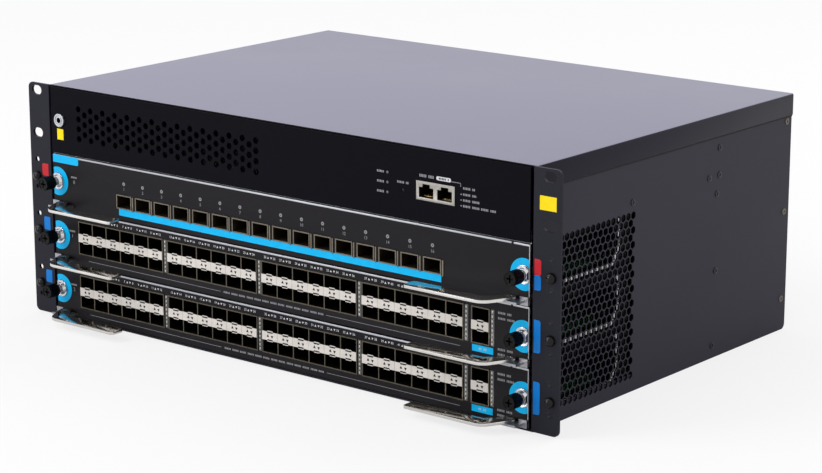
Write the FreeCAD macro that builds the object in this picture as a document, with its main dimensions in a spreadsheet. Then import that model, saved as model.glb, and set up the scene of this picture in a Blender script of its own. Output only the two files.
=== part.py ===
import FreeCAD, Part
import math
import os
import re
import Sketcher

# Rack-mounted modular ethernet switch, four rack units high, with three pull-out line modules.
# Frame: X to the right seen from the front, Y to the back, Z up.
# The origin is the middle of the underside. All sizes are in millimetres.

DRIVING_SIZES = {
    # Shell: folded base tray, two flat side walls, folded cover and inner deck
    "body_width": 440.0,
    "chassis_depth": 312.0,
    "chassis_height": 175.0,
    "wall_sheet": 1.2,
    "tray_sheet": 1.2,
    "tray_bend": 4.0,
    "tray_flange": 12.0,
    "tray_setback": 2.0,
    "cover_sheet": 1.0,
    "cover_flange": 15.5,
    "deck_sheet": 1.2,
    "deck_lip": 9.0,
    # Side grille, a field of hexagons
    "grille_start": 40.0,
    "grille_low": 20.0,
    "grille_pitch": 21.0,
    "grille_web": 2.4,
    "grille_columns": 4,
    "grille_row_pairs": 3,
    # Rack ears with two slots each for the standard hole spacing
    "ear_reach": 21.3,
    "ear_sheet": 2.0,
    "ear_flange": 27.0,
    "ear_corner": 4.0,
    "ear_foot": 1.0,
    "rack_slot_out": 12.55,
    "rack_up": 31.75,
    "rack_drop": 5.3,
    "rack_slot_width": 7.0,
    "rack_slot_length": 10.0,
    "ear_stud": 7.2,
    "ear_stud_height": 3.6,
    "ear_stud_inset": 7.0,
    "ear_stud_low": 23.4,
    # Fixed front panel above the modules
    "front_sheet": 1.5,
    "front_lip": 12.0,
    "panel_inset": 2.5,
    "panel_gap": 1.0,
    "vent_left": 28.2,
    "vent_share": 0.305,
    "vent_web": 4.8,
    "vent_columns": 7,
    "vent_rows": 2,
    "console_place": 141.6,
    "console_level": 22.1,
    "console_width": 31.8,
    "console_height": 12.8,
    "console_depth": 22.0,
    "jack_pitch": 15.2,
    "jack_width": 11.9,
    "jack_height": 6.8,
    "jack_notch_width": 6.0,
    "jack_notch": 2.2,
    "jack_depth": 15.0,
    "light_place": 101.2,
    "light_share": 0.1324,
    "light_size": 2.0,
    "light_length": 9.0,
    "reset_place": 114.0,
    "reset_level": 19.9,
    "reset_pin": 2.4,
    "reset_pin_length": 6.6,
    "reset_recess": 0.4,
    "reset_collar": 2.0,
    "reset_travel": 0.8,
    "earth_place": 8.7,
    "earth_level": 25.5,
    "earth_flange": 10.0,
    "earth_barrel": 7.0,
    "earth_bore": 4.0,
    "earth_rim": 1.5,
    "earth_length": 12.0,
    # Control board behind the front panel
    "control_inset": 16.4,
    "control_width": 120.0,
    "control_depth": 100.0,
    "control_sheet": 1.6,
    "standoff_width": 6.0,
    "standoff_inset": 8.0,
    "standoff_front": 16.0,
    "switch_width": 6.0,
    "switch_neck": 1.5,
    "switch_depth": 7.0,
    # Line modules, each in its own slot
    "slot_floor": 2.0,
    "module_pitch": 40.8,
    "panel_sheet": 2.0,
    "panel_lip": 10.0,
    "board_inset": 13.5,
    "board_length": 186.0,
    "board_sheet": 1.6,
    "board_level": 8.9,
    "tongue_width": 120.0,
    "tongue_length": 13.0,
    "cage_proud": 0.6,
    "cage_wall": 0.8,
    "cage_depth": 50.0,
    "port_depth": 42.0,
    "stack_height": 25.0,
    "stack_band": 4.4,
    "stack_margin": 24.9,
    "stack_gap": 4.2,
    "pair_gap": 6.2,
    "pair_margin": 31.05,
    "single_height": 10.4,
    "single_margin": 65.5,
    "single_gap": 3.85,
    # Captive thumbscrews
    "screw_inset": 4.5,
    "screw_diameter": 4.6,
    "screw_tip": 14.0,
    "knob_diameter": 9.8,
    "knob_flutes": 12,
    "knob_length": 9.5,
    "knob_reach": 15.5,
    # Ejector levers and their pivot brackets
    "lever_sheet": 2.0,
    "lever_level": 4.0,
    "lever_reach": 26.0,
    "grip_length": 64.5,
    "grip_inset": 18.5,
    "grip_width": 12.0,
    "bend_cut": 3.0,
    "arm_width": 7.0,
    "pivot_inset": 12.5,
    "pivot_reach": 5.0,
    "pivot_pin": 4.0,
    "bracket_sheet": 1.5,
    "bracket_width": 21.0,
    "bracket_reach": 9.5,
    "lug_width": 6.5,
    # Card cage, backplane and its sockets
    "guide_sheet": 1.2,
    "guide_flange": 12.0,
    "ledge_width": 17.0,
    "window_front": 22.0,
    "window_back": 97.0,
    "window_low": 10.5,
    "window_high": 35.0,
    "window_chamfer": 8.0,
    "nut_hole": 6.4,
    "backplane_gap": 6.8,
    "backplane_sheet": 2.0,
    "backplane_inset": 3.0,
    "socket_rim": 4.0,
    "socket_depth": 12.0,
    "socket_height": 12.0,
    "socket_floor": 3.0,
    # Rear fans
    "fan_size": 92.0,
    "fan_thick": 25.0,
    "fan_bore": 88.0,
    "fan_pitch": 150.0,
    "fan_level": 62.0,
    "fan_strut": 4.0,
    "fan_axle": 4.0,
    "hub_diameter": 36.0,
    "hub_sides": 20,
    "blade_inset": 1.0,
    "blade_root": 4.0,
    "blade_clear": 3.0,
    "blade_sheet": 2.0,
    "blade_chord": 18.0,
    "blade_count": 5,
    # Pull-out power supplies
    "psu_width": 84.0,
    "psu_headroom": 8.3,
    "psu_length": 180.0,
    "psu_offset": 60.0,
    "handle_place": 2.0,
    "handle_reach": 22.0,
    "handle_inset": 4.0,
    "handle_bar": 3.0,
    "handle_width": 8.0,
    "latch_place": 7.0,
    "latch_height": 12.0,
    "latch_sheet": 1.2,
    "latch_reach": 13.0,
    "latch_tab": 6.0,
    "latch_knuckle": 2.0,
    "inlet_place": 26.0,
    "inlet_width": 27.4,
    "inlet_height": 19.8,
    "inlet_depth": 18.0,
    "inlet_wall": 1.7,
    "inlet_pin_width": 2.0,
    "inlet_pin_height": 4.0,
    "intake_place": 26.0,
    "intake_width": 28.0,
    "intake_inset": 6.0,
    "intake_depth": 2.5,
    # Clearances
    "guide_gap": 0.5,
    "slide_gap": 0.1,
    "seat_gap": 0.2,
    "swing_gap": 0.3,
    "turn_fit": 0.06,
}
SLOTS = 3
STACK_COUNT = 4
STACK_PORTS = 6
SINGLE_COUNT = 16
FANS = 2
LIGHTS = 3

FRONT = "-chassis_depth/2"
REAR = "chassis_depth/2"
BAY_TOP = "(slot_floor + 3*module_pitch)"
DECK_TOP = "(slot_floor + 3*module_pitch + deck_sheet)"
INNER_HALF = "(body_width/2 - wall_sheet)"
COVER_UNDER = "(chassis_height - cover_sheet)"
PANEL_HALF = "(body_width/2 - panel_inset)"
PANEL_LEFT = f"(-{PANEL_HALF})"
SCREW_PLACE = f"({PANEL_HALF} - screw_inset)"
PIVOT_PLACE = f"({PANEL_HALF} - pivot_inset)"
GRIP_OUTER = f"({PANEL_HALF} - grip_inset)"
GRIP_INNER = f"({GRIP_OUTER} - grip_length)"
BOARD_HALF = f"({PANEL_HALF} - board_inset)"
BACKPLANE_PLACE = "(panel_sheet + seat_gap + board_length + tongue_length + backplane_gap)"
GUIDE_OUTER = "(body_width/2 - wall_sheet - tray_sheet)"
GUIDE_INNER = "(body_width/2 - wall_sheet - tray_sheet - guide_sheet)"
GUIDE_FRONT = "(panel_lip + guide_gap)"
EAR_OUTER = "(body_width/2 + ear_reach)"
CONTROL_LEFT = f"({GUIDE_OUTER} - control_inset - control_width)"
UPPER_HEIGHT = f"(chassis_height - {BAY_TOP})"
BOARD_TOP = f"({BAY_TOP} + console_level - console_height/2)"
# The double rows and the pair fill the panel between its margins, which gives the pitch of the ports.
PORT_ROOM = (f"(2*{PANEL_HALF} - stack_margin - pair_margin - {STACK_COUNT + 1}*cage_wall"
             f" - {STACK_COUNT - 1}*stack_gap - pair_gap)")
PORT_PITCH = f"({PORT_ROOM}/{STACK_COUNT * STACK_PORTS + 1})"
STACK_WIDTH = f"({STACK_PORTS}*{PORT_PITCH} + cage_wall)"
STACK_PITCH = f"({STACK_WIDTH} + stack_gap)"
STACK_LEFT = f"({PANEL_LEFT} + stack_margin)"
PAIR_RIGHT = f"({PANEL_HALF} - pair_margin)"
PAIR_LEFT = f"({PAIR_RIGHT} - {PORT_PITCH} - cage_wall)"
SINGLE_LEFT = f"({PANEL_LEFT} + single_margin)"
SINGLE_RIGHT = f"({SINGLE_LEFT} + {PORT_PITCH} + cage_wall)"
SINGLE_PITCH = f"({PORT_PITCH} + cage_wall + single_gap)"
PSU_HEIGHT = f"({COVER_UNDER} - {DECK_TOP} - slide_gap - psu_headroom)"

doc = FreeCAD.newDocument("modular_switch")
sheet = doc.addObject("Spreadsheet::Sheet", "Sizes")
for row, (alias, value) in enumerate(DRIVING_SIZES.items(), start=1):
    sheet.set(f"A{row}", alias)
    sheet.set(f"B{row}", str(value))
    sheet.setAlias(f"B{row}", alias)
doc.recompute()

nodes = []


# Expressions, sketches and features

def bound(words):
    """Give every driving size in an expression its sheet's name."""
    return re.sub(r"[a-z_]+", lambda m: f"Sizes.{m[0]}" if m[0] in DRIVING_SIZES else m[0], words)


def size(alias):
    return float(sheet.get(alias))


def new_body(label):
    body = doc.addObject("PartDesign::Body", label)
    body.Label = label
    return body


def place(thing, x="0", y=FRONT, z="0"):
    for axis, words in zip("xyz", (x, y, z)):
        thing.setExpression(f"Placement.Base.{axis}", bound(words))
    return thing


def origin_feature(body, role):
    return next(item for item in body.Origin.OriginFeatures if item.Role == role)


def add_polygon(sketch, points):
    """A closed outline whose corners are each held by two distances from the origin."""
    count = len(points)
    first = sketch.GeometryCount
    turns = [math.tau * i / count for i in range(count)]
    seeds = [FreeCAD.Vector(math.cos(turn), math.sin(turn), 0) for turn in turns]
    for i in range(count):
        sketch.addGeometry(Part.LineSegment(seeds[i], seeds[(i + 1) % count]))
    for i in range(count):
        sketch.addConstraint(Sketcher.Constraint("Coincident", first + i, 2, first + (i + 1) % count, 1))
    for i, (across, up) in enumerate(points):
        for kind, words, seed in (("DistanceX", across, seeds[i].x), ("DistanceY", up, seeds[i].y)):
            held = sketch.addConstraint(Sketcher.Constraint(kind, first + i, 1, seed))
            sketch.setExpression(f"Constraints[{held}]", bound(words))


def add_circle(sketch, across, up, diameter):
    circle = sketch.addGeometry(Part.Circle(FreeCAD.Vector(1, 1, 0), FreeCAD.Vector(0, 0, 1), 1))
    for kind, words in (("DistanceX", across), ("DistanceY", up)):
        held = sketch.addConstraint(Sketcher.Constraint(kind, circle, 3, 1))
        sketch.setExpression(f"Constraints[{held}]", bound(words))
    held = sketch.addConstraint(Sketcher.Constraint("Diameter", circle, 2))
    sketch.setExpression(f"Constraints[{held}]", bound(diameter))


def new_sketch(body, role, outlines, level="0"):
    """A sketch on one of the body's own planes: a triple is a circle, a list of pairs a polygon."""
    sketch = body.newObject("Sketcher::SketchObject", "outline")
    sketch.AttachmentSupport = (origin_feature(body, role), [""])
    sketch.MapMode = "FlatFace"
    sketch.setExpression("AttachmentOffset.Base.z", bound(level))
    for outline in outlines:
        if isinstance(outline, tuple):
            add_circle(sketch, *outline)
        else:
            add_polygon(sketch, outline)
    return sketch


def extrude(body, kind, axis, outlines, low, high):
    """A pad or a pocket that runs along one axis from low to high."""
    role = {"X": "YZ_Plane", "Y": "XZ_Plane", "Z": "XY_Plane"}[axis]
    pad = kind == "Pad"
    # The XZ plane faces -Y, so a sketch there is set at minus its Y place.
    if axis == "Y":
        level = f"-({low})"
    else:
        level = low if pad else high
    feature = body.newObject(f"PartDesign::{kind}", kind.lower())
    feature.Profile = new_sketch(body, role, outlines, level)
    feature.Reversed = pad and axis == "Y"
    feature.setExpression("Length", bound(f"({high}) - ({low})"))
    return feature


def pad(body, axis, outlines, low, high):
    return extrude(body, "Pad", axis, outlines, low, high)


def pocket(body, axis, outlines, low, high):
    return extrude(body, "Pocket", axis, outlines, low, high)


def prism(body, sides, diameter, low, high):
    """A many-sided bar about the body's own Y axis, by the width over its corners."""
    feature = body.newObject("PartDesign::AdditivePrism", "bar")
    feature.AttachmentSupport = (origin_feature(body, "XZ_Plane"), [""])
    feature.MapMode = "FlatFace"
    # The XZ plane faces -Y, so the bar starts at its far end.
    feature.setExpression("AttachmentOffset.Base.z", bound(f"-({high})"))
    feature.setExpression("Polygon", bound(str(sides)))
    feature.setExpression("Circumradius", bound(f"({diameter})/2"))
    feature.setExpression("Height", bound(f"({high}) - ({low})"))
    return feature


def repeat(body, features, steps):
    """Repeat features along one or more axes: each step is an axis, a count and a pitch."""
    patterns = []
    grid = None
    if len(steps) > 1:
        grid = body.newObject("PartDesign::MultiTransform", "grid")
        grid.Originals = features
    for axis, count, pitch in steps:
        line = body.newObject("PartDesign::LinearPattern", "line")
        line.Direction = (origin_feature(body, f"{axis}_Axis"), [""])
        line.setExpression("Length", bound(f"({pitch})*({count} - 1)"))
        line.setExpression("Occurrences", bound(str(count)))
        patterns.append(line)
    if grid is None:
        patterns[0].Originals = features
        body.Tip = patterns[0]
        return patterns[0]
    grid.Transformations = patterns
    body.Tip = grid
    return grid


def round_edges(body, feature, axis, chosen, radius):
    """Round the straight edges along one axis whose ends both pass the test."""
    doc.recompute()
    names = []
    for number, edge in enumerate(feature.Shape.Edges, start=1):
        ends = [vertex.Point for vertex in edge.Vertexes]
        if len(ends) == 2 and all(chosen(end) for end in ends):
            run = ends[1] - ends[0]
            if abs(getattr(run, axis.lower())) > 0.999 * run.Length:
                names.append(f"Edge{number}")
    fillet = body.newObject("PartDesign::Fillet", "bend")
    fillet.Base = (feature, names)
    fillet.setExpression("Radius", bound(radius))
    return fillet


def near(first, second):
    return abs(first - second) < 0.01


def rectangle(left, right, low, high):
    return [(left, low), (right, low), (right, high), (left, high)]


def hexagon(across, up, flats):
    """A hexagon standing on a corner, by the width over its two upright flats."""
    corner = f"({flats})/sqrt(3)"
    half = f"({flats})/2"
    return [
        (across, f"{up} + {corner}"),
        (f"{across} - {half}", f"{up} + {corner}/2"),
        (f"{across} - {half}", f"{up} - {corner}/2"),
        (across, f"{up} - {corner}"),
        (f"{across} + {half}", f"{up} - {corner}/2"),
        (f"{across} + {half}", f"{up} + {corner}/2"),
    ]


def sideways_hexagon(across, up, flats):
    """A hexagon standing on a flat, by the width over two opposite flats."""
    corner = f"({flats})/sqrt(3)"
    half = f"({flats})/2"
    return [
        (f"{across} + {corner}", up), (f"{across} + {corner}/2", f"{up} + {half}"),
        (f"{across} - {corner}/2", f"{up} + {half}"), (f"{across} - {corner}", up),
        (f"{across} - {corner}/2", f"{up} - {half}"), (f"{across} + {corner}/2", f"{up} - {half}"),
    ]


def octagon(across, up, flats):
    """An octagon standing on a flat, by the width over two opposite flats."""
    half = f"({flats})/2"
    corner = f"({flats})/2*tan(22.5)"
    return [
        (f"{across} + {half}", f"{up} - {corner}"), (f"{across} + {half}", f"{up} + {corner}"),
        (f"{across} + {corner}", f"{up} + {half}"), (f"{across} - {corner}", f"{up} + {half}"),
        (f"{across} - {half}", f"{up} + {corner}"), (f"{across} - {half}", f"{up} - {corner}"),
        (f"{across} - {corner}", f"{up} - {half}"), (f"{across} + {corner}", f"{up} - {half}"),
    ]


def sided(side, inner, outer):
    """Low and high X of a stretch that lies between two distances from the middle plane."""
    if side > 0:
        return inner, outer
    return f"-({outer})", f"-({inner})"


def side_name(side):
    return "right" if side > 0 else "left"


def slot_level(slot):
    return f"slot_floor + {SLOTS - 1 - slot}*module_pitch"


def light_level(step):
    """Middle height of one status light: the lowest stands just over the control board."""
    return f"{BOARD_TOP} + light_size/2 + seat_gap/2 + {step}*{UPPER_HEIGHT}*light_share"


def keep(thing):
    nodes.append(thing)
    return thing


def group(label, things):
    """Like pieces that share one node, each a separate solid."""
    compound = doc.addObject("Part::Compound", label)
    compound.Label = label
    compound.Links = things
    return keep(compound)


# Shell

def base_tray():
    """Floor and rear wall folded from one sheet, with side flanges, power bays and fan openings."""
    body = new_body("base_tray")
    fold = pad(body, "X", [[
        ("ear_sheet", "0"), ("chassis_depth", "0"), ("chassis_depth", COVER_UNDER),
        ("chassis_depth - tray_sheet", COVER_UNDER), ("chassis_depth - tray_sheet", "tray_sheet"),
        ("ear_sheet", "tray_sheet"),
    ]], f"-{INNER_HALF}", INNER_HALF)
    depth, thick = size("chassis_depth"), size("tray_sheet")
    outer = round_edges(body, fold, "X", lambda p: near(p.y, depth) and near(p.z, 0), "tray_bend")
    round_edges(body, outer, "X", lambda p: near(p.y, depth - thick) and near(p.z, thick),
                "tray_bend - tray_sheet")
    for side in (1, -1):
        low, high = sided(side, GUIDE_OUTER, INNER_HALF)
        pad(body, "Y", [rectangle(low, high, "tray_sheet/2", "tray_flange")],
            "panel_lip + tray_setback", "chassis_depth - 2*tray_flange")
        pad(body, "Z", [rectangle(low, high, "chassis_depth - tray_flange", "chassis_depth - tray_sheet/2")],
            "tray_flange", COVER_UNDER)
    bays = [
        rectangle(f"{side}*psu_offset - psu_width/2 - seat_gap",
                  f"{side}*psu_offset + psu_width/2 + seat_gap",
                  DECK_TOP, f"{DECK_TOP} + slide_gap + {PSU_HEIGHT} + seat_gap")
        for side in (1, -1)
    ]
    rear_wall = ("chassis_depth - tray_sheet", "chassis_depth")
    pocket(body, "Y", bays, *rear_wall)
    fan_left = f"-{(FANS - 1) / 2}*fan_pitch"
    opening = pocket(body, "Y", [octagon(fan_left, "fan_level", "fan_bore - fan_strut")], *rear_wall)
    repeat(body, [opening], [("X", FANS, "fan_pitch")])
    return keep(place(body))


def side_wall(side):
    """Flat wall with a rounded lower rear corner and a field of hexagons beside the modules."""
    body = new_body(f"side_wall_{side_name(side)}")
    low, high = sided(side, INNER_HALF, "body_width/2")
    wall = pad(body, "X", [rectangle("ear_sheet", "chassis_depth", "0", COVER_UNDER)], low, high)
    depth = size("chassis_depth")
    round_edges(body, wall, "X", lambda p: near(p.y, depth) and near(p.z, 0), "tray_bend")
    row_pitch = "grille_pitch*sqrt(3)/2"
    holes = pocket(body, "X", [
        hexagon("grille_start", "grille_low", "grille_pitch - grille_web"),
        hexagon("grille_start + grille_pitch/2", f"grille_low + {row_pitch}", "grille_pitch - grille_web"),
    ], low, high)
    repeat(body, [holes], [("Y", "grille_columns", "grille_pitch"),
                           ("Z", "grille_row_pairs", f"2*{row_pitch}")])
    return keep(place(body))


def top_cover():
    """One sheet folded down over both side walls."""
    body = new_body("top_cover")
    over = "(body_width/2 + cover_sheet)"
    foot = "chassis_height - cover_flange"
    pad(body, "Y", [[
        (f"-{over}", foot), ("-body_width/2", foot), ("-body_width/2", COVER_UNDER),
        ("body_width/2", COVER_UNDER), ("body_width/2", foot), (over, foot), (over, "chassis_height"),
        (f"-{over}", "chassis_height"),
    ]], "ear_sheet", "chassis_depth")
    return keep(place(body))


def mid_deck():
    """Shelf over the module bay, with a lip up behind the front panel."""
    body = new_body("mid_deck")
    pad(body, "X", [[
        ("front_sheet", BAY_TOP), ("chassis_depth - tray_sheet", BAY_TOP),
        ("chassis_depth - tray_sheet", DECK_TOP), ("front_sheet + deck_sheet", DECK_TOP),
        ("front_sheet + deck_sheet", f"{BAY_TOP} + deck_lip"),
        ("front_sheet", f"{BAY_TOP} + deck_lip"),
    ]], f"-{GUIDE_OUTER}", GUIDE_OUTER)
    return keep(place(body))


def front_panel():
    """Upper front panel: vent field, and openings for the sockets, lights and reset pin."""
    body = new_body("front_panel")
    foot = f"{BAY_TOP} + panel_gap/2"
    pad(body, "X", [[
        ("0", foot), ("front_sheet", foot), ("front_sheet", f"{COVER_UNDER} - front_sheet"),
        ("front_lip", f"{COVER_UNDER} - front_sheet"), ("front_lip", COVER_UNDER),
        ("front_sheet", COVER_UNDER), ("front_sheet", "chassis_height"), ("0", "chassis_height"),
    ]], PANEL_LEFT, PANEL_HALF)
    vent_pitch = f"{UPPER_HEIGHT}*vent_share"
    vent_hole = f"{vent_pitch} - vent_web"
    column_pitch = f"{vent_pitch}*sqrt(3)/2"
    vent_base = f"{BAY_TOP} + {UPPER_HEIGHT}/2 - {vent_pitch}*(vent_rows - 1)/2"
    through = ("0", "front_sheet")
    long_columns = pocket(body, "Y", [hexagon(f"{PANEL_LEFT} + vent_left", vent_base, vent_hole)], *through)
    repeat(body, [long_columns], [("X", "vent_columns", f"2*{column_pitch}"), ("Z", "vent_rows", vent_pitch)])
    short_columns = pocket(body, "Y", [
        hexagon(f"{PANEL_LEFT} + vent_left + {column_pitch}", f"{vent_base} + {vent_pitch}/2", vent_hole),
    ], *through)
    repeat(body, [short_columns], [("X", "vent_columns - 1", f"2*{column_pitch}"),
                                   ("Z", "vent_rows - 1", vent_pitch)])
    light_half = "(light_size/2 + seat_gap/2)"
    lights = [
        rectangle(f"light_place - {light_half}", f"light_place + {light_half}",
                  f"{light_level(step)} - {light_half}", f"{light_level(step)} + {light_half}")
        for step in range(LIGHTS)
    ]
    console_half = ("(console_width/2 + seat_gap)", "(console_height/2 + seat_gap)")
    console = rectangle(f"console_place - {console_half[0]}", f"console_place + {console_half[0]}",
                        f"{BAY_TOP} + console_level - {console_half[1]}",
                        f"{BAY_TOP} + console_level + {console_half[1]}")
    pocket(body, "Y", lights + [
        console,
        ("reset_place", f"{BAY_TOP} + reset_level", "reset_pin + 2*turn_fit"),
        sideways_hexagon(f"{PANEL_LEFT} + earth_place", f"{BAY_TOP} + earth_level",
                         "earth_barrel*sqrt(3)/2 + 2*turn_fit"),
    ], *through)
    return keep(place(body))


def rack_ear(side):
    """L-shaped bracket: front plate with the rack slots, and a flange along the side wall."""
    body = new_body(f"rack_ear_{side_name(side)}")
    low, high = sided(side, "body_width/2", EAR_OUTER)
    plate = pad(body, "Y", [rectangle(low, high, "ear_foot", "chassis_height")], "0", "ear_sheet")
    outer = side * (size("body_width") / 2 + size("ear_reach"))
    round_edges(body, plate, "Y", lambda p: near(p.x, outer), "ear_corner")
    flange_low, flange_high = sided(side, "body_width/2", "body_width/2 + ear_sheet")
    pad(body, "Z", [rectangle(flange_low, flange_high, "ear_sheet/2", "ear_flange")],
        "ear_foot", "chassis_height - cover_flange - seat_gap")
    slot_middle = f"{side}*(body_width/2 + rack_slot_out)"
    straight = "(rack_slot_length - rack_slot_width)/2"
    levels = ["chassis_height - rack_drop", "chassis_height - rack_drop - rack_up"]
    pocket(body, "Y", [
        rectangle(f"{slot_middle} - {straight}", f"{slot_middle} + {straight}",
                  f"{level} - rack_slot_width/2", f"{level} + rack_slot_width/2")
        for level in levels
    ], "0", "ear_sheet")
    for end in (1, -1):
        pocket(body, "Y", [
            (f"{slot_middle} + {end}*{straight}", level, "rack_slot_width") for level in levels
        ], "0", "ear_sheet")
    return keep(place(body))


def ear_studs():
    """Six-sided studs that stand on the ears, two to a slot."""
    studs = []
    for side in (1, -1):
        for step in range(SLOTS):
            stud = doc.addObject("Part::Prism", "stud")
            stud.Polygon = 6
            stud.setExpression("Circumradius", bound("ear_stud/2"))
            stud.setExpression("Height", bound("ear_stud_height"))
            stud.Placement.Rotation = FreeCAD.Rotation(FreeCAD.Vector(1, 0, 0), 90)
            across = f"{side}*({EAR_OUTER} - ear_stud_inset)"
            place(stud, across, FRONT, f"ear_stud_low + {step}*module_pitch")
            studs.append(stud)
    return group("ear_studs", studs)


# Inside the module bay

def card_cage(side):
    """Side plate of the module bay: windows to the grille, board ledges and flanges at both ends."""
    body = new_body(f"card_cage_{side_name(side)}")
    low, high = sided(side, GUIDE_INNER, GUIDE_OUTER)
    back = BACKPLANE_PLACE
    pad(body, "X", [rectangle(GUIDE_FRONT, back, "tray_sheet", BAY_TOP)], low, high)
    for slot in range(SLOTS):
        foot = slot_level(slot)
        bottom, top = f"{foot} + window_low", f"{foot} + window_high"
        pocket(body, "X", [[
            ("window_front + window_chamfer", bottom), ("window_back - window_chamfer", bottom),
            ("window_back", f"{bottom} + window_chamfer"), ("window_back", f"{top} - window_chamfer"),
            ("window_back - window_chamfer", top), ("window_front + window_chamfer", top),
            ("window_front", f"{top} - window_chamfer"), ("window_front", f"{bottom} + window_chamfer"),
        ]], low, high)
        ledge_low, ledge_high = sided(side, f"{GUIDE_OUTER} - ledge_width", GUIDE_OUTER)
        ledge_top = f"{foot} + board_level - board_sheet - slide_gap"
        pad(body, "Y", [rectangle(ledge_low, ledge_high, f"{ledge_top} - guide_sheet", ledge_top)],
            GUIDE_FRONT, back)
    flange_low, flange_high = sided(side, f"{GUIDE_OUTER} - guide_flange", GUIDE_OUTER)
    for start, end in ((GUIDE_FRONT, f"{GUIDE_FRONT} + guide_sheet"), (f"{back} - guide_sheet", back)):
        pad(body, "Y", [
            rectangle(flange_low, flange_high, f"{slot_level(slot)} + board_level + 2*board_sheet",
                      f"{slot_level(slot)} + module_pitch - 2*guide_sheet")
            for slot in range(SLOTS)
        ], start, end)
    pocket(body, "Y", [
        hexagon(f"{side}*{SCREW_PLACE}", f"{slot_level(slot)} + module_pitch/2", "nut_hole")
        for slot in range(SLOTS)
    ], GUIDE_FRONT, f"{GUIDE_FRONT} + guide_sheet")
    return keep(place(body))


def backplane():
    """Board across the back of the bay that carries the module sockets."""
    body = new_body("backplane")
    half = f"({GUIDE_OUTER} - backplane_inset)"
    pad(body, "Y", [rectangle(f"-{half}", half, "slot_floor", f"{BAY_TOP} - backplane_inset")],
        BACKPLANE_PLACE, f"{BACKPLANE_PLACE} + backplane_sheet")
    return keep(place(body))


def backplane_sockets():
    """Edge sockets, one per slot, each with a slit that takes the tongue of a module board."""
    sockets = []
    for slot in range(SLOTS):
        body = new_body(f"socket_{slot}")
        middle = "(board_level - board_sheet/2)"
        half = "(tongue_width/2 + swing_gap + socket_rim)"
        pad(body, "Y", [
            rectangle(f"-{half}", half, f"{middle} - socket_height/2", f"{middle} + socket_height/2"),
        ], f"{BACKPLANE_PLACE} - socket_depth", BACKPLANE_PLACE)
        pocket(body, "Y", [
            rectangle("-tongue_width/2 - swing_gap", "tongue_width/2 + swing_gap",
                      "board_level - board_sheet - swing_gap", "board_level + swing_gap"),
        ], f"{BACKPLANE_PLACE} - socket_depth", f"{BACKPLANE_PLACE} - socket_floor")
        sockets.append(place(body, z=slot_level(slot)))
    return group("backplane_sockets", sockets)


# Control board and the small parts at the upper front

def control_board():
    body = new_body("control_board")
    pad(body, "Z", [
        rectangle(CONTROL_LEFT, f"{CONTROL_LEFT} + control_width",
                  "deck_sheet + front_sheet + panel_gap", "control_depth"),
    ], f"{BOARD_TOP} - control_sheet", BOARD_TOP)
    return keep(place(body))


def board_standoffs():
    """Hexagon posts that carry the control board over the deck."""
    body = new_body("board_standoffs")
    body.AllowCompound = True
    post = pad(body, "Z", [hexagon(f"{CONTROL_LEFT} + standoff_inset", "standoff_front", "standoff_width")],
               DECK_TOP, f"{BOARD_TOP} - control_sheet")
    repeat(body, [post], [("X", 2, "control_width - 2*standoff_inset"),
                          ("Y", 2, "control_depth - standoff_front - standoff_inset")])
    return keep(place(body))


def console_ports():
    """Double socket block, each opening with its latch notch upwards."""
    body = new_body("console_ports")
    middle = f"{BAY_TOP} + console_level"
    pad(body, "Y", [rectangle("console_place - console_width/2", "console_place + console_width/2",
                              f"{middle} - console_height/2", f"{middle} + console_height/2")],
        "-cage_proud", "console_depth")
    bottom = f"{middle} - (jack_height + jack_notch)/2"
    shoulder, top = f"{bottom} + jack_height", f"{bottom} + jack_height + jack_notch"
    first = "console_place - jack_pitch/2"
    jack = pocket(body, "Y", [[
        (f"{first} - jack_width/2", bottom), (f"{first} + jack_width/2", bottom),
        (f"{first} + jack_width/2", shoulder), (f"{first} + jack_notch_width/2", shoulder),
        (f"{first} + jack_notch_width/2", top), (f"{first} - jack_notch_width/2", top),
        (f"{first} - jack_notch_width/2", shoulder), (f"{first} - jack_width/2", shoulder),
    ]], "-cage_proud", "jack_depth - cage_proud")
    repeat(body, [jack], [("X", 2, "jack_pitch")])
    return keep(place(body))


def status_lights():
    """Three short light guides through the panel."""
    guides = []
    for step in range(LIGHTS):
        guide = doc.addObject("Part::Box", "light_guide")
        for edge, words in (("Length", "light_size"), ("Width", "light_length"), ("Height", "light_size")):
            guide.setExpression(edge, bound(words))
        place(guide, "light_place - light_size/2", f"{FRONT} - swing_gap",
              f"{light_level(step)} - light_size/2")
        guides.append(guide)
    return group("status_lights", guides)


def ground_socket():
    """Wrist-strap socket: a round rim on the front of the panel and a six-sided barrel through it."""
    body = new_body("ground_socket")
    pad(body, "Y", [("0", "0", "earth_flange")], "-earth_rim", "0")
    prism(body, 6, "earth_barrel", "0", "earth_length")
    pocket(body, "Y", [("0", "0", "earth_bore")], "-earth_rim", "earth_length")
    return keep(place(body, f"{PANEL_LEFT} + earth_place", FRONT, f"{BAY_TOP} + earth_level"))


def reset_button():
    """Pin that is pressed through the panel with a thin tool, with a collar behind the panel."""
    body = new_body("reset_button")
    pad(body, "Y", [("0", "0", "reset_pin")], "reset_recess", "reset_pin_length - reset_collar/2")
    prism(body, 6, "2*reset_pin", "reset_pin_length - reset_collar", "reset_pin_length")
    return keep(place(body, "reset_place", FRONT, f"{BAY_TOP} + reset_level"))


def reset_switch():
    """Push switch on the control board, right behind the pin."""
    body = new_body("reset_switch")
    face = "reset_pin_length + reset_travel + turn_fit"
    level = f"{BAY_TOP} + reset_level"
    pad(body, "X", [[
        (face, f"{level} - reset_pin/2"), (face, f"{level} + reset_pin/2"),
        (f"{face} + switch_neck", f"{level} + reset_pin"), (f"{face} + switch_depth", f"{level} + reset_pin"),
        (f"{face} + switch_depth", BOARD_TOP), (f"{face} + switch_neck", BOARD_TOP),
    ]], "reset_place - switch_width/2", "reset_place + switch_width/2")
    return keep(place(body))


# Line modules

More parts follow.
